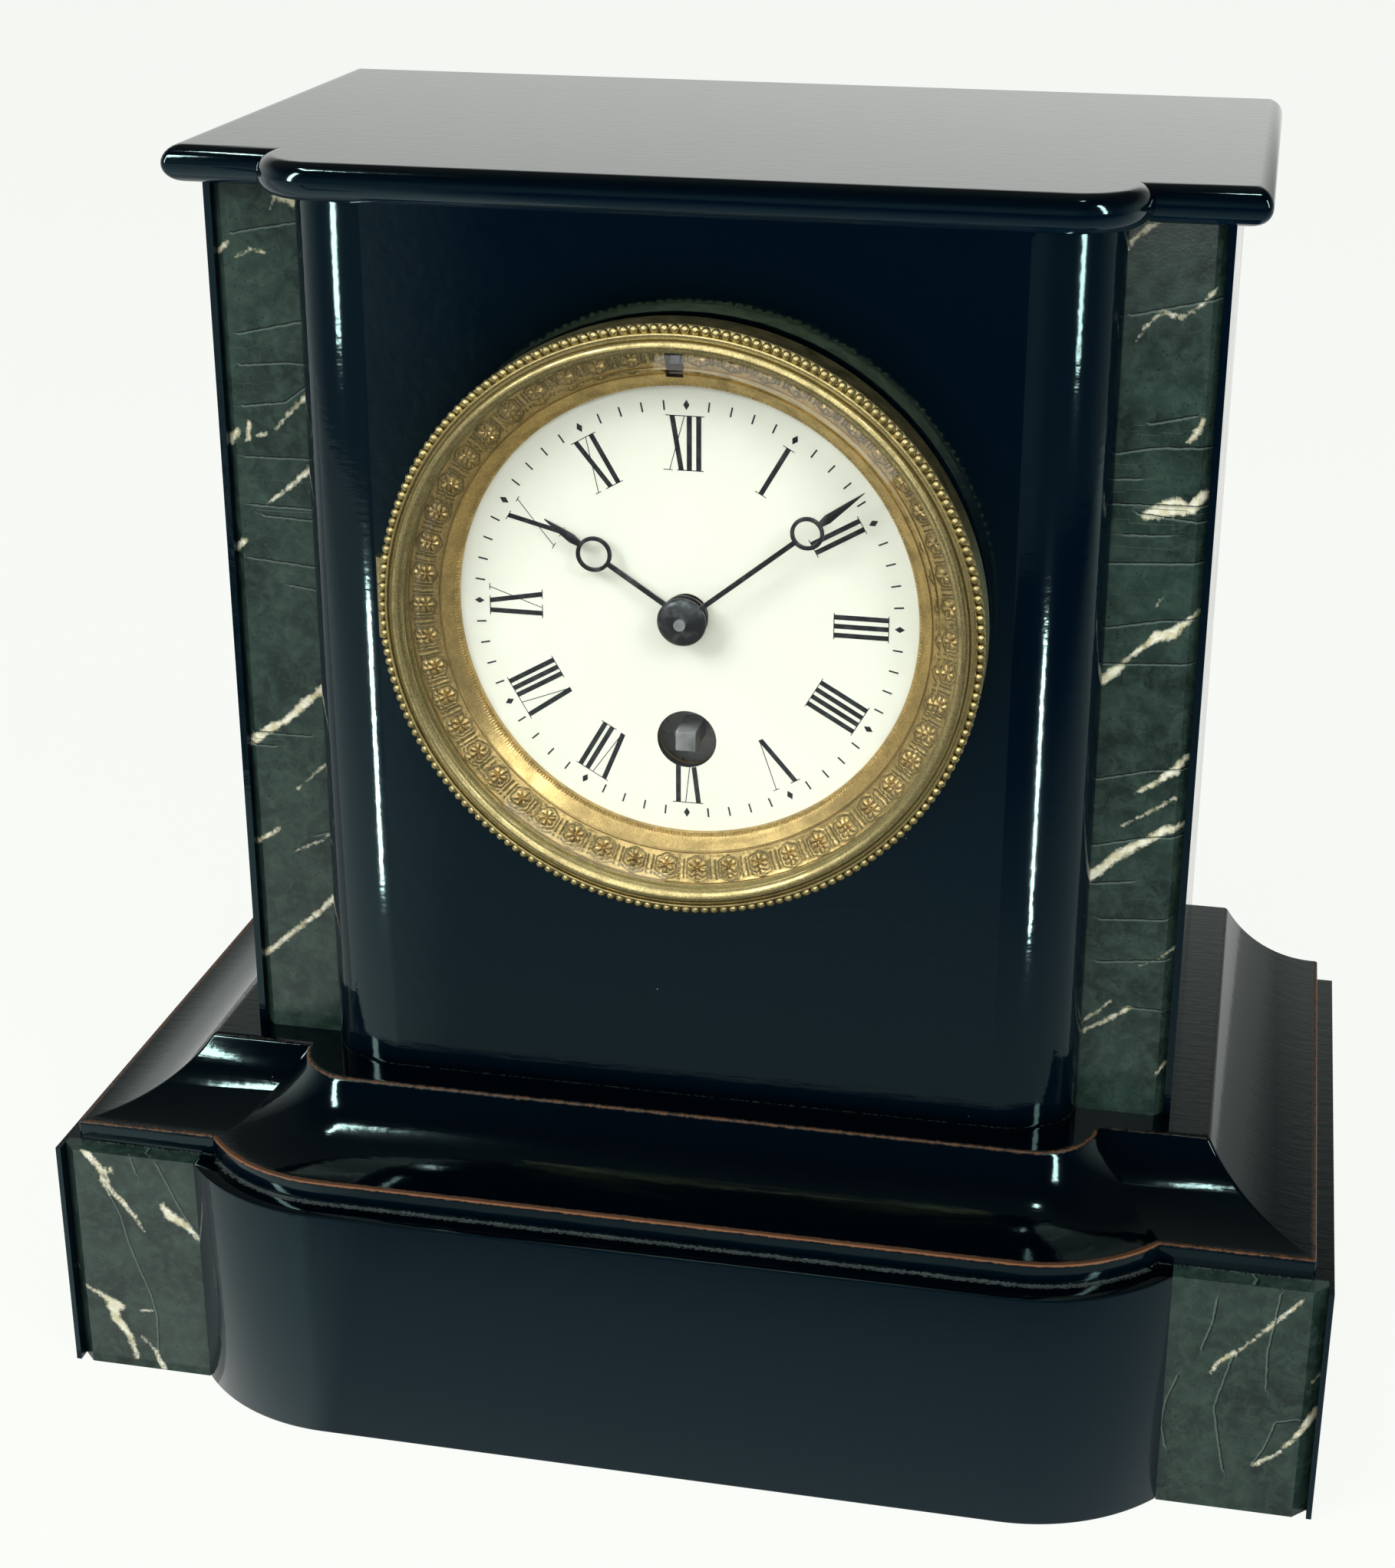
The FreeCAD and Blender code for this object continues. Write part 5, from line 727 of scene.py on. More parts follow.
right_pilaster_cracks = [
    (68, 198.6, 75, 200.3, 81.5, 201.8), (67, 176.5, 73, 177.8, 81.5, 178.2), (72, 181.6, 79, 183.3),
    (67, 172.4, 71, 172.6), (67, 168.3, 81.5, 168.6), (71, 166.9, 81.5, 166), (69, 163.3, 76, 163.6),
    (67, 158.4, 81.5, 159.3), (67, 147.5, 76, 149.3, 81, 149.7), (67, 141.3, 81, 142.2),
    (67, 121, 76, 123.3, 81.5, 123.8), (67, 109, 75, 111, 81.5, 111.8), (67, 102, 74, 103),
    (69, 95.6, 80, 96.4), (69, 87.6, 81, 89), (75, 79.4, 80, 79.4)]
slip("base_slip_left", "plinth_panel_left", -1, base_bevel, left_base_veins, left_base_cracks)
slip("base_slip_right", "plinth_panel_right", 1, base_bevel, right_base_veins, right_base_cracks)
slip("pilaster_slip_left", "pilaster_left", -1, pilaster_bevel, left_pilaster_veins, left_pilaster_cracks)
slip("pilaster_slip_right", "pilaster_right", 1, pilaster_bevel, right_pilaster_veins, right_pilaster_cracks)

# Dial: one disc of white enamel fired on copper, pierced for the hands and for the winding key.
# Its chapters are printed in black and fired in; the two holes show the dark edge of the copper.

enamel_low, enamel_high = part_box("dial_enamel")
enamel_radius = 0.0402
hand_hole_radius = 0.0036
key_hole_radius = 0.0050
key_hole_drop = 0.0218
enamel_edge = 0.0002
fired_white = "#e8eadd"
fired_shade = "#dfe1d3"
copper_edge = "#23282a"
printing_black = "#15191c"
printing_thin = "#5c6062"
enamel_ripple = 0.004
enamel_fleck_spacing = 0.0044
enamel_fleck_reach = 0.035
enamel_fleck_share = 0.3
print_thickness = 0.00002
numeral_foot = 0.02425
numeral_top = 0.03315
bar_width = 0.00083
hairline_width = 0.00014
dash_span = (0.0341, 0.03572)
dash_width = 0.00028
diamond_place = 0.03495
diamond_half = (0.00052, 0.00085)
chapters = {
    1: ([(-0.1, -0.1, 1)], [(-1.15, 0.95)], [(-1.15, 0.95)]),
    2: ([(-1.35, -1.35, 1), (0.2, 0.2, 1)], [(-2.2, 1.05)], [(-2.2, 1.05)]),
    3: ([(-1.4, -1.4, 1), (0.13, 0.13, 1), (1.66, 1.66, 1)], [(-2.1, 2.4)], [(-2.1, 2.4)]),
    4: ([(-2.5, -2.5, 1), (-1.07, -1.07, 1), (0.36, 0.36, 1), (1.8, 1.8, 1)], [(-3.3, 2.6)], [(-3.3, 2.6)]),
    5: ([(-2.06, -0.3, 1), (1.6, -0.1, 0)], [(-2.95, -1.15), (1.05, 2.15)], []),
    6: ([(-2.0, -0.9, 1), (0.2, -0.75, 0), (1.44, 1.44, 1)], [(-2.8, 2.4)], []),
    7: ([(-2.7, -1.5, 1), (-0.5, -1.35, 0), (0.6, 0.6, 1), (1.95, 1.95, 1)], [(-3.5, 2.75)], [(-0.2, 2.75)]),
    8: ([(-3.5, -2.7, 1), (-1.1, -2.5, 0), (0.35, 0.35, 1), (1.65, 1.65, 1), (3.0, 3.0, 1)], [(-4.3, 3.8)],
        [(-0.45, 3.8)]),
    9: ([(-1.56, -1.56, 1), (0.1, 1.75, 1), (2.5, -0.6, 0)], [(-2.4, 0.95), (1.95, 3.05)],
        [(-2.4, -0.05), (0.95, 2.6)]),
    10: ([(-1.86, 0.6, 1), (1.36, -2.2, 0)], [(-2.75, -1.0), (0.85, 1.9)], [(-2.75, -1.65), (-0.3, 1.5)]),
    11: ([(-1.8, -0.36, 1), (0.1, -2.7, 0), (1.1, 1.1, 1)], [(-2.7, 1.95)], [(-3.25, -2.2), (-1.25, 1.95)]),
    12: ([(-2.33, -0.83, 1), (-0.33, -2.75, 0), (0.47, 0.47, 1), (2.0, 2.0, 1)], [(-3.4, 2.9)],
         [(-3.75, -2.25), (-1.55, 2.85)]),
}
milli = 0.001


def turned(name, section, material, body="case", steps=240, angle=32,
           push_way=(0.0, -1.0)):
    """A piece turned about the dial's axis: closed section points are (radius, depth[, push by angle])."""
    points = []
    for step in range(steps):
        turn = math.tau * step / steps
        for spot in section:
            push = spot[2](turn) if len(spot) > 2 else 0.0
            radius, depth = spot[0] + push * push_way[0], spot[1] + push * push_way[1]
            points.append((radius * math.sin(turn), depth, dial_centre.y + radius * math.cos(turn)))
    faces = [tuple(index % len(points) for index in face) for face in band_faces(steps, len(section))]
    return smooth(closed(piece_from(name, points, faces, material, body)), angle)


enamel, tree, shader = finish_with("fired_enamel", Roughness=0.1)
place = add(tree, "TexCoord").outputs["Object"]
wave = add(tree, "TexNoise", Vector=place, Scale=1 / enamel_ripple, Detail=2.0)
cloud = add(tree, "TexNoise", Vector=place, Scale=1 / (enamel_ripple * 3), Detail=4.0)
fleck = strays(tree, place, enamel_fleck_spacing, enamel_fleck_reach, enamel_fleck_share)
soft_fleck = add(tree, "Math", fleck, 0.45, operation="MULTIPLY")
white = add(tree, "MixRGB", cloud, fired_white, fired_shade)
marked = add(tree, "MixRGB", soft_fleck, white, settled_dust)
bump = add(tree, "Bump", Strength=0.08, Distance=0.00006, Height=wave)
fill(shader, Base_Color=marked, Normal=bump)

bare_copper, tree, shader = finish_with("oxidised_copper_edge", Roughness=0.45, Metallic=0.6)
place = add(tree, "TexCoord").outputs["Object"]
bite = add(tree, "TexNoise", Vector=place, Scale=1 / pore_width, Detail=3.0)
edge = add(tree, "MixRGB", bite, copper_edge, printing_black)
fill(shader, Base_Color=edge)

dial_disc = turned("dial_disc", [
    (0, enamel_low.y), (enamel_radius - enamel_edge, enamel_low.y),
    (enamel_radius, enamel_low.y + enamel_edge),
    (enamel_radius, enamel_high.y), (0, enamel_high.y)], enamel)
dial_disc.data.materials.append(bare_copper)
cutters = []
for label, radius, drop in (("hand_hole", hand_hole_radius, 0),
                            ("key_hole", key_hole_radius, key_hole_drop)):
    cutter = prism(label, round_outline(radius, dial_centre.y - drop, 72), enamel_low.y - enamel_edge,
                   enamel_high.y + enamel_edge, bare_copper)
    cutter.data.materials.clear()
    cutter.data.materials.append(enamel)
    cutter.data.materials.append(bare_copper)
    for face in cutter.data.polygons:
        face.material_index = 1
    cutters.append(cutter)
smooth(pierced(dial_disc, *cutters))
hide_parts("dial_enamel")

ink, tree, shader = finish_with("fired_printing_black", Roughness=0.3)
place = add(tree, "TexCoord").outputs["Object"]
thin_ink = add(tree, "TexNoise", Vector=place, Scale=1 / (bar_width * 1.5), Detail=4.0)
shade = add(tree, "MapRange", thin_ink, 0.45, 0.75, None, 0.35)
black = add(tree, "MixRGB", shade, printing_black, printing_thin)
fill(shader, Base_Color=black)
print_points = []
print_faces = []


def printed(corners, turn):
    """One printed mark: corners are (clockwise, outwards) before it is turned to its place on the dial."""
    first, count = len(print_points), len(corners)
    for depth in (enamel_low.y, enamel_low.y - print_thickness):
        for along, out in corners:
            print_points.append((along * math.cos(turn) + out * math.sin(turn), depth,
                                 dial_centre.y + out * math.cos(turn) - along * math.sin(turn)))
    print_faces.append(tuple(range(first, first + count)))
    print_faces.append(tuple(reversed(range(first + count, first + 2 * count))))
    print_faces.extend((first + i, first + count + i, first + count + (i + 1) % count,
                        first + (i + 1) % count) for i in range(count))


def foot_of(along, hour):
    """Where a stroke starts: at the numeral's foot, or at the rim of the key hole under the six."""
    if hour != 6 or abs(along) >= key_hole_radius:
        return numeral_foot
    return max(numeral_foot, key_hole_drop + math.sqrt(key_hole_radius ** 2 - along ** 2))


for hour, (strokes, tops, feet) in chapters.items():
    turn = math.tau * hour / 12
    for top, foot, thick in strokes:
        half = (bar_width if thick else hairline_width) / 2
        slant = (top - foot) * milli / (numeral_top - numeral_foot)
        corners = []
        for side in (-half, half):
            low = foot_of(foot * milli + side, hour)
            corners.append((foot * milli + side + slant * (low - numeral_foot), low))
        corners += [(top * milli + half, numeral_top), (top * milli - half, numeral_top)]
        printed(corners, turn)
    for spans, level in ((tops, numeral_top), (feet, numeral_foot)):
        for start, end in spans:
            first, last = start * milli, end * milli
            low, high = level - hairline_width / 2, level + hairline_width / 2
            printed([(first, low), (last, low), (last, high), (first, high)], turn)
for minute in range(60):
    turn = math.tau * minute / 60
    if minute % 5:
        inner, outer = dash_span
        half = dash_width / 2
        printed([(-half, inner), (half, inner), (half, outer), (-half, outer)], turn)
    else:
        wide, tall = diamond_half
        printed([(0, diamond_place - tall), (wide, diamond_place), (0, diamond_place + tall),
                 (-wide, diamond_place)], turn)
closed(piece_from("dial_printing", print_points, print_faces, ink))

# Gilt brass: cast or turned, gilded once and then lacquered, by now brown and olive in its hollows.
# The turned faces keep the fine rings of the lathe tool, and the high places are rubbed to yellow.

gilt_rubbed = "#cdbd87"
gilt_dull = "#a39767"
gilt_tarnish = "#5a5435"
warm_gilt = ("#b89e67", "#d4b87d")
turning_pitch = 0.00018
tarnish_patch = 0.0032


def gilt(name, roughness=0.3, rings_share=1.0, tarnish_share=0.55, tones=(gilt_dull, gilt_rubbed)):
    """Old lacquered gilt brass: warm where it is rubbed, brown in patches and in its hollows."""
    material, tree, shader = finish_with(name, Metallic=1.0)
    place = add(tree, "TexCoord").outputs["Object"]
    flat = add(tree, "VectorMath", place, (0, 0, dial_centre.y), operation="SUBTRACT")
    squashed = add(tree, "VectorMath", flat, (1, 0, 1), operation="MULTIPLY")
    out = add(tree, "VectorMath", squashed, operation="LENGTH").outputs["Value"]
    rings = add(tree, "TexNoise", W=out, Scale=1 / turning_pitch, Detail=3.0, noise_dimensions="1D")
    patches = add(tree, "TexNoise", Vector=place, Scale=1 / tarnish_patch, Detail=6.0, Roughness=0.6)
    grain = add(tree, "TexNoise", Vector=place, Scale=1 / turning_pitch / 1.5, Detail=4.0)
    hollows = add(tree, "Attribute", attribute_name="hollow")
    brown = add(tree, "Math", patches, hollows.outputs["Fac"], operation="ADD")
    dark = add(tree, "MapRange", brown, 0.42, 0.95, None, tarnish_share * 1.6)
    bright = add(tree, "MapRange", grain, 0.4, 0.62)
    metal = add(tree, "MixRGB", bright, tones[0], tones[1])
    colour = add(tree, "MixRGB", dark, metal, gilt_tarnish)
    dull = add(tree, "MapRange", brown, 0.35, 0.8, roughness, roughness + 0.22)
    relief = add(tree, "Math", rings, rings_share, grain, operation="MULTIPLY_ADD")
    bump = add(tree, "Bump", Strength=0.35, Distance=0.00003, Height=relief)
    fill(shader, Base_Color=colour, Roughness=dull, Normal=bump)
    return material


turned_gilt = gilt("turned_gilt_brass")
cast_gilt = gilt("cast_gilt_brass", roughness=0.34, rings_share=0.0, tarnish_share=0.5,
                 tones=warm_gilt)
coat(turned_gilt, "dial_surround", "glass_retainer")

# Sight ring: a spun brass ring round the dial, with a milled inner edge and a polished slope.
# Round it runs a stamped band of fifty star flowers, each in a pointed frame between pairs of short bars.

flowers = 50
flower_round = 43.0 * milli
hollow_reach = 0.0004
hollow_rise = 0.07
hollow_width = 0.075
hollow_brown = 0.85
hollow_start = 0.12
band_margin = 0.03
milled_notches = 500
milled_height = 0.00014
sight_steps = 1500
band_inner = (0.04100, -0.03706)
band_outer = (0.04485, -0.03867)
band_rows = 24
notch_middle = -0.0012
notch_half = 0.0014
notch_span = (0.0400, 0.0440)
notch_depths = (-0.042, -0.030)
band_width = (Vector(band_outer) - Vector(band_inner)).length
band_way = (Vector(band_outer) - Vector(band_inner)).normalized()
band_out = (band_way.y, -band_way.x)


def ridge(distance, width):
    """How high a rounded ridge stands at a distance from its middle line, as a share of its height."""
    return math.exp(-(distance / width) ** 2)


def flower_relief(turn, share):
    """How far the stamped band stands out, in metres, at an angle and a share of the way across it."""
    pitch = math.tau * flower_round / flowers / milli
    a = ((turn / math.tau * flowers) % 1 - 0.5) * pitch
    b = (share - 0.5) * band_width / milli
    reach, way = math.hypot(a, b), math.atan2(a, b)
    frame_line = max(abs(a) * 1.06, abs(a) * 0.5 + abs(b) * 0.9)
    petals = abs(math.cos(3 * way)) ** 1.4 * max(0.0, math.sin(math.pi * min(reach / 1.5, 1.0))) ** 0.8
    height = 0.36 * petals + 0.2 * ridge(reach, 0.3) + 0.12 * ridge(frame_line - 1.78, 0.16)
    bar = 1.0 if abs(b) < 1.15 else ridge(abs(b) - 1.15, 0.2)
    height += 0.12 * bar * ridge(abs(a) - 2.25, 0.16)
    near, far = Vector((turn * 60, share * 9, 3.1)), Vector((turn * 9, 0, 7))
    worn = noise.noise(near) * 0.05 + noise.noise(far) * 0.05
    fade = min(1.0, share / 0.06, (1 - share) / 0.06)
    return (height * (1 + 4 * worn) + worn) * max(0.0, fade) * milli


def milled(turn):
    """The notches rolled into the ring's inner edge."""
    return milled_height * math.cos(turn * milled_notches)


def across_band(row):
    """One row of the stamped band."""
    share = row / band_rows
    spot = Vector(band_inner).lerp(Vector(band_outer), share)
    return spot.x, spot.y, lambda turn: flower_relief(turn, share)


sight_section = [
    (0.0382, -0.03361), (0.0382, -0.03415), (0.03822, -0.03445, milled), (0.03840, -0.03474, milled),
    (0.03866, -0.03496, milled), (0.03882, -0.03508), (0.0394, -0.03571), (0.0400, -0.03630),
    (0.0405, -0.03680), (0.04058, -0.03680), (0.04064, -0.03662), (0.04084, -0.03670), (0.04092, -0.03700),
    (0.04096, -0.03705)] + [across_band(row) for row in range(band_rows + 1)] + [
    (0.04490, -0.03856), (0.04500, -0.03880), (0.04510, -0.03882), (0.04518, -0.03868), (0.04526, -0.03888),
    (0.04535, -0.03888), (0.0454, -0.03878), (0.0454, -0.0351), (0.0444, -0.0351), (0.0444, -0.0375),
    (0.0416, -0.0355), (0.0392, -0.03361)]
sight = turned("stamped_sight_ring", sight_section, cast_gilt, steps=sight_steps, push_way=band_out)
notch = [(notch_middle - notch_half, dial_centre.y + notch_span[0]),
         (notch_middle + notch_half, dial_centre.y + notch_span[0]),
         (notch_middle + notch_half, dial_centre.y + notch_span[1]),
         (notch_middle - notch_half, dial_centre.y + notch_span[1])]
smooth(pierced(sight, prism("notch", notch, *notch_depths)), 40)
hollow = sight.data.attributes.new("hollow", "FLOAT", "POINT")
for index, vertex in enumerate(sight.data.vertices):
    across = (Vector((math.hypot(vertex.co.x, vertex.co.z - dial_centre.y), vertex.co.y)) -
              Vector(band_inner)).dot(band_way) / band_width
    turn = math.atan2(vertex.co.x, vertex.co.z - dial_centre.y)
    if band_margin < across < 1 - band_margin and vertex.co.y < band_inner[1] + hollow_reach:
        rise = flower_relief(turn, across) / milli
        depth = max(0.0, 1 - abs(rise - hollow_rise) / hollow_width)
        hollow.data[index].value = hollow_brown * depth - hollow_start
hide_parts("sight_ring")

# Bezel: a hinged ring of turned brass that holds the glass, with a string of pearl beads round its edge.
# It is turned from a casting; the beads are rolled, so that each is a little over half a ball.

bead_count = 190
bead_radius = 0.00079
bead_circle = 0.04893
bead_depth = -0.04262
bezel_steps = 380
knuckle_place = (-0.0508, -0.0359)
knuckle_radius = 0.0013
knuckle_bore = 0.00065
knuckle_half = 0.0022
knuckle_sides = 32
leaf_span = (-0.0500, -0.04825)
leaf_depths = (-0.0360, -0.0354)
bezel_section = [
    (0.0464, -0.0354), (0.0492, -0.0354), (0.0494, -0.0356), (0.0494, -0.0412), (0.04955, -0.0414),
    (0.04955, -0.0418), (0.0494, -0.0420), (0.0490, -0.0421), (0.0485, -0.0424), (0.04842, -0.0433),
    (0.04832, -0.04345), (0.0481, -0.04352), (0.04795, -0.04348), (0.04782, -0.0429), (0.0474, -0.0429),
    (0.04726, -0.0436), (0.0471, -0.0439), (0.0468, -0.04415), (0.0464, -0.04425), (0.0460, -0.04418),
    (0.0456, -0.0439), (0.04534, -0.0436), (0.0453, -0.0434), (0.0453, -0.04292), (0.0464, -0.04292)]
bezel = turned("beaded_bezel", bezel_section, turned_gilt, "bezel_frame", steps=bezel_steps)
pearl_rings = 8
pearl_sides = 14
pearl = [(math.sin(math.pi * i / pearl_rings) * math.cos(math.tau * j / pearl_sides),
          -math.cos(math.pi * i / pearl_rings), math.sin(math.pi * i / pearl_rings) *
          math.sin(math.tau * j / pearl_sides)) for i in range(pearl_rings + 1) for j in range(pearl_sides)]
pearl_points = []
pearl_faces = []
for bead in range(bead_count):
    turn = math.tau * bead / bead_count
    pearl_faces += band_faces(pearl_rings, pearl_sides, len(pearl_points))
    pearl_points += [(bead_circle * math.sin(turn) + x * bead_radius, bead_depth + y * bead_radius,
                      dial_centre.y + bead_circle * math.cos(turn) + z * bead_radius) for x, y, z in pearl]
pearls = closed(piece_from("bezel_pearls", pearl_points, pearl_faces, turned_gilt, "bezel_frame"))
pearls.data.shade_smooth()
knuckle_ring = []
for level in (-knuckle_half, knuckle_half):
    for radius in (knuckle_radius, knuckle_bore):
        knuckle_ring += [(x, y, dial_centre.y + level)
                         for x, y in arc(*knuckle_place, radius, 0, 360, knuckle_sides)[:-1]]
knuckle_faces = []
for a, b in ((0, 2), (3, 1), (1, 0), (2, 3)):
    for i in range(knuckle_sides):
        after = (i + 1) % knuckle_sides
        knuckle_faces.append((a * knuckle_sides + i, a * knuckle_sides + after, b * knuckle_sides + after,
                              b * knuckle_sides + i))
knuckle = piece_from("bezel_knuckle", knuckle_ring, knuckle_faces, turned_gilt, "bezel_frame")
smooth(closed(knuckle))
leaf_corners = ((0, -1), (1, -1), (1, 1), (0, 1))
leaf_outline = [(leaf_span[end], dial_centre.y + side * knuckle_half) for end, side in leaf_corners]
leaf = prism("bezel_leaf", leaf_outline, *leaf_depths, turned_gilt)
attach(leaf, "bezel_frame")
for piece in (bezel, pearls, knuckle, leaf):
    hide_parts("bezel")

# Glass: a thick flat disc with a broad ground and polished bevel, held from behind by a sprung brass ring.
# It is old crown glass, clean and very slightly green, so it is mostly its bevel that shows.

glass_low, glass_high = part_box("bezel_glass")
glass_radius = 0.0462
glass_bevel = 0.0036
glass_bevel_depth = 0.0013
glass_tint = "#f9fdfa"
glass_clear = "#ffffff"
glass_index = 1.51
glass_wave = 0.02
crown_glass, tree, shader = finish_with("crown_glass", Roughness=0.0, Transmission_Weight=1.0,
                                        IOR=glass_index)
place = add(tree, "TexCoord").outputs["Object"]
wave = add(tree, "TexNoise", Vector=place, Scale=1 / glass_wave, Detail=1.0)
bump = add(tree, "Bump", Strength=0.02, Distance=0.0001, Height=wave)
tint = add(tree, "MixRGB", wave, glass_tint, glass_clear)
fill(shader, Base_Color=tint, Normal=bump)
pane = turned("bevelled_glass", [
    (0, glass_high.y), (glass_radius - 0.0001, glass_high.y), (glass_radius, glass_high.y - 0.0001),
    (glass_radius, glass_low.y + glass_bevel_depth), (glass_radius - glass_bevel, glass_low.y),
    (0, glass_low.y)], crown_glass, "bezel_frame", angle=5)
pane.visible_shadow = False
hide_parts("bezel_glass")

# Hands: steel sawn to shape, filed up and blackened, each with a ring near its end and a lance point.
# The minute hand sits on a domed collet over the hour hand, and the end of the arbor shows in its middle.

hand_thickness = 0.0005
hand_round = 0.00007
stem_half = 0.00041
lance_neck_half = 0.00048
lance_half = 0.00075
lance_rise = 0.0014
hand_metal = 0.00065
hand_rub = 0.0016
file_mark = 0.0002
lance_waist_rise = 0.0012
lance_tip_half = 0.00006
lance_tip_ease = 0.0002
hand_black = "#34383a"
hand_rubbed = "#787c7c"
blackened, tree, shader = finish_with("heat_blackened_steel", Metallic=0.85)
place = add(tree, "TexCoord").outputs["Object"]
rub = add(tree, "TexNoise", Vector=place, Scale=1 / hand_rub, Detail=5.0)
rubbed = add(tree, "MapRange", rub, 0.5, 0.8, None, 0.6)
shade = add(tree, "MixRGB", rubbed, hand_black, hand_rubbed)
sheen = add(tree, "MapRange", rub, None, None, 0.22, 0.5)
file_marks = add(tree, "TexNoise", Vector=place, Scale=1 / file_mark, Detail=2.0)
bump = add(tree, "Bump", Strength=0.3, Distance=0.00002, Height=file_marks)
fill(shader, Base_Color=shade, Roughness=sheen, Normal=bump)


def hand(name, node, body, degrees, back, boss, ring, ring_radius, tip):
    """One hand: a boss, a stem, a ring and a lance point, sawn from plate and eased along its edges."""
    leave = math.degrees(math.asin(stem_half / boss))
    enter = math.degrees(math.asin(stem_half / ring_radius))
    neck = math.degrees(math.asin(lance_neck_half / ring_radius))
    half = arc(0, 0, boss, -90, 90 - leave, 40)
    half += [(x, y + ring) for x, y in arc(0, 0, ring_radius, -90 + enter, 90 - neck, 32)]
    neck_end = ring + ring_radius
    half += [(lance_half, neck_end + lance_rise),
             (lance_half * 0.5, (neck_end + tip) / 2 + lance_waist_rise),
             (lance_tip_half, tip - lance_tip_ease), (0, tip)]
    outline = half + [(-x, y) for x, y in reversed(half[1:-1])]
    bore = [(x, y + ring) for x, y in arc(0, 0, ring_radius - hand_metal, 0, 360, 47)[:-1]]
    curve = bpy.data.curves.new(name, "CURVE")
    curve.dimensions = "2D"
    curve.fill_mode = "BOTH"
    curve.extrude = hand_thickness / 2 - hand_round
    curve.bevel_depth = hand_round
    curve.bevel_resolution = 2
    curve.offset = -hand_round
    for loop in (outline, bore):
        spline = curve.splines.new("POLY")
        spline.points.add(len(loop) - 1)
        for point, (x, y) in zip(spline.points, loop):
            point.co = (x, y, 0, 1)
        spline.use_cyclic_u = True
    drawn = bpy.data.objects.new(name + "_outline", curve)
    bpy.context.scene.collection.objects.link(drawn)
    mesh = bpy.data.meshes.new_from_object(drawn.evaluated_get(bpy.context.evaluated_depsgraph_get()))
    bpy.data.objects.remove(drawn)
    stand = Matrix.Rotation(math.radians(90), 4, "X")
    turn = Matrix.Rotation(math.radians(degrees), 4, "Y")
    place = Matrix.Translation((0, back - hand_thickness / 2, dial_centre.y))
    mesh.transform(place @ turn @ stand)
    mesh.materials.clear()
    mesh.materials.append(blackened)
    thing = bpy.data.objects.new(name, mesh)
    bpy.context.scene.collection.objects.link(thing)
    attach(thing, body)
    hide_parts(node)
    return smooth(closed(thing), 50)


hand("lance_hour_hand", "hour_hand", "hour", degrees=303.4, back=-0.0352, boss=0.0039, ring=0.0179,
     ring_radius=0.00297, tip=0.0277)
hand("lance_minute_hand", "minute_hand", "minute", degrees=51.3, back=-0.0371, boss=0.0036, ring=0.0260,
     ring_radius=0.00273, tip=0.0376)

# Collet: the domed boss that presses the minute hand on to its pipe, turned and blackened like the hands.

collet_radius = 0.00405
rubbed_end = "#c4c8c4"
spring_end, tree, shader = finish_with("rubbed_steel_end", Base_Color=rubbed_end, Metallic=0.2,
                                       Roughness=0.35)
collet_back = -0.0371
collet_front = -0.0387
collet_bore = 0.0009
collet = turned("minute_collet", [
    (collet_bore, collet_back), (collet_radius - 0.0001, collet_back), (collet_radius, collet_back - 0.0001),
    (collet_radius, collet_back - 0.00045), (collet_radius - 0.00015, collet_back - 0.00065),
    (collet_radius * 0.9, collet_back - 0.00092), (collet_radius * 0.75, collet_back - 0.00122),
    (collet_radius * 0.5, collet_back - 0.00147), (collet_bore + 0.0001, collet_front),
    (collet_bore, collet_front)], blackened, "minute", steps=96)
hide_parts("minute_hand")
pin_radius = 0.00074
pin_front = collet_front - 0.0003
pin = turned("minute_pin_end", [
    (0, collet_back), (pin_radius, collet_back), (pin_radius, pin_front + 0.00015),
    (pin_radius - 0.0002, pin_front), (0, pin_front)], spring_end, "minute", steps=48)
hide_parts("minute_hand")

# Movement: plates, wheels and pillars of yellow brass, stoned smooth and lacquered, with steel arbors.
# The plates keep a straight grain, and long years inside the case have left them brown in places.

plate_brass_colour = "#b8995a"
plate_brass_dull = "#7d683c"
wheel_brass_colour = "#c3a361"
blued_steel = "#59616b"
blued_shadow = "#30363d"
steel_colour = "#a3a6a6"
steel_dull = "#5f6364"
stoning_pitch = 0.0002
handling_patch = 0.006


def stoned(name, bright, dull, roughness, along=(0.06, 1.0, 1.0), metal_share=1.0):
    """Metal stoned in straight strokes: a fine grain one way, with duller patches where it was handled."""
    material, tree, shader = finish_with(name, Metallic=metal_share)
    place = add(tree, "TexCoord").outputs["Object"]
    drawn = add(tree, "Mapping", Vector=place, Scale=along)
    strokes = add(tree, "TexNoise", Vector=drawn, Scale=1 / stoning_pitch, Detail=3.0)
    patches = add(tree, "TexNoise", Vector=place, Scale=1 / handling_patch, Detail=5.0)
    dulled = add(tree, "MapRange", patches, 0.42, 0.7)
    colour = add(tree, "MixRGB", dulled, bright, dull)
    rough = add(tree, "MapRange", patches, None, None, roughness * 0.8, roughness * 1.5)
    bump = add(tree, "Bump", Strength=0.3, Distance=0.00003, Height=strokes)
    fill(shader, Base_Color=colour, Roughness=rough, Normal=bump)
    return material


plate_brass = stoned("stoned_plate_brass", plate_brass_colour, plate_brass_dull, 0.32)
coat(plate_brass, "dial_plate", "hinge_pins", "front_plate", "back_plate", "plate_pillars", "back_cock")

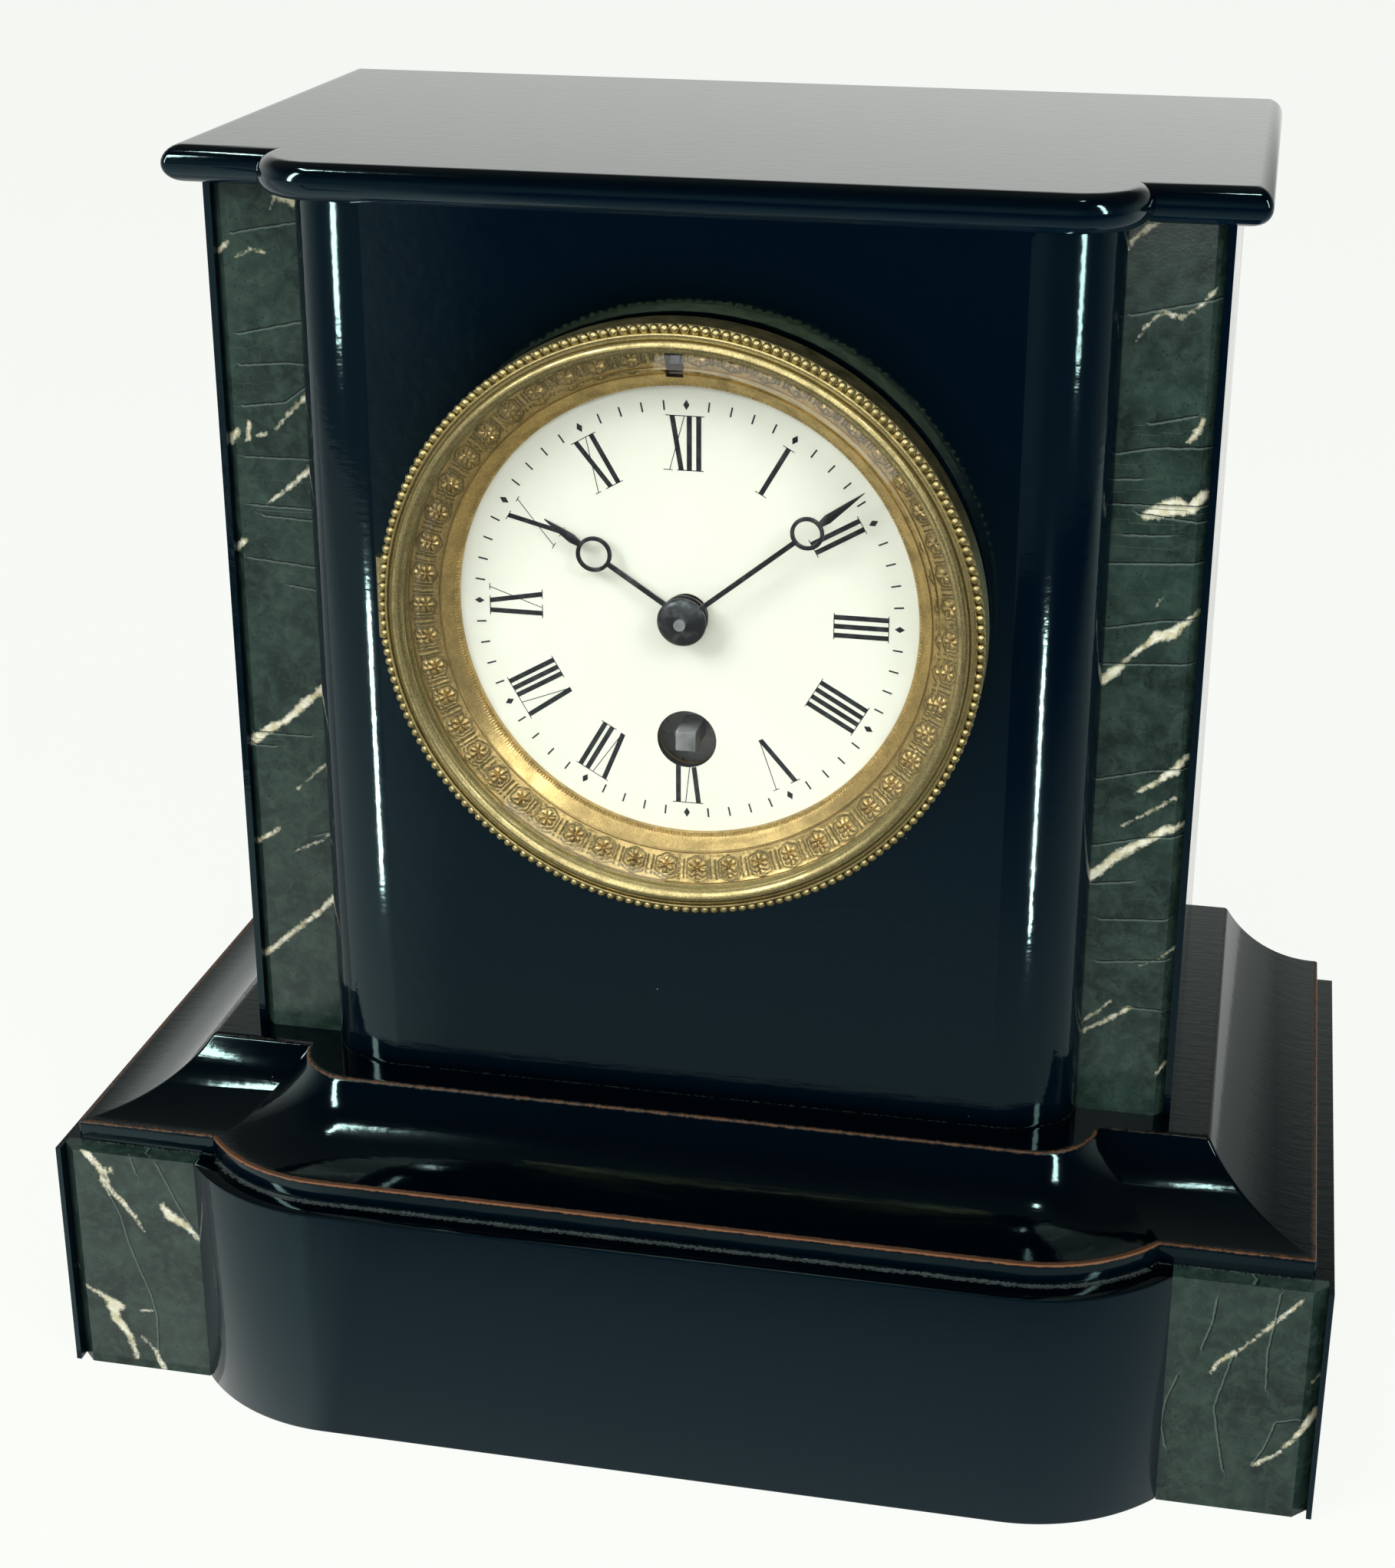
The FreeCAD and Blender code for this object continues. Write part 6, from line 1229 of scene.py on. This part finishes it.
# Barrel, ratchet and winding square: the brass drum holds the mainspring, the steel square takes the key.
# The square stands in its hole in the dial, bright at its corners where keys have rubbed it.

wheel_brass = stoned("crossed_out_wheel_brass", wheel_brass_colour, plate_brass_dull, 0.26, (1.0, 1.0, 0.06))
arbor_steel = stoned("polished_arbor_steel", steel_colour, steel_dull, 0.25, metal_share=0.5)
spring_steel = stoned("blued_spring_steel", blued_steel, blued_shadow, 0.3)
coat(wheel_brass, "barrel", "barrel_cap")
coat(spring_steel, "mainspring", "click_spring", "suspension_spring")
coat(arbor_steel, "winding_arbor", "ratchet_wheel", "click", "movement_screws")

# Train and motion work: cut brass wheels riveted to steel arbors, whose pinion leaves are polished.
# The cannon pinion and the hour pipe are of brass, like the wheels that they drive.

coat(wheel_brass, "intermediate_wheel", "centre_wheel", "third_wheel", "escape_wheel", "cannon_pinion",
     "minute_wheel", "hour_wheel")
coat(arbor_steel, "intermediate_arbor", "centre_arbor", "third_arbor", "escape_arbor")

# Escapement, regulator and pendulum: a steel anchor and crutch, a steel spring and rod, and a brass bob.
# The regulator's square shows as a small steel block in the notch above the twelve.

coat(arbor_steel, "anchor", "anchor_arbor", "crutch", "pendulum_rod", "regulating_arbor", "regulating_screw")
coat(wheel_brass, "suspension_slider", "pendulum_bob", "rating_nut")

# Back of the case: two brass straps draw the dial's surround to the ring behind, which carries the door.
# Straps, ring and door were gilded with the bezel, but have only dust and finger marks on them.

rear_gilt = gilt("rear_gilt_brass", roughness=0.27, tarnish_share=0.4)
coat(rear_gilt, "side_straps", "back_ring", "back_door")

# What the lights reach: the window's panes show only in the polish of the front, its strips only on the
# round corners of the front board, and the lamps leave out the black wood and the sight ring.

polished_front.objects.link(front_board)
for thing in (plinth_nose, moulding, front_board, cap):
    polished_black.objects.link(thing)
for thing in bpy.context.scene.objects:
    finish = thing.data.materials[0] if thing.type == "MESH" and thing.data.materials else None
    if finish in (black_wood, rear_wood, cast_gilt):
        out_of_lamplight.objects.link(thing)
for entry in out_of_lamplight.collection_objects:
    entry.light_linking.link_state = "EXCLUDE"
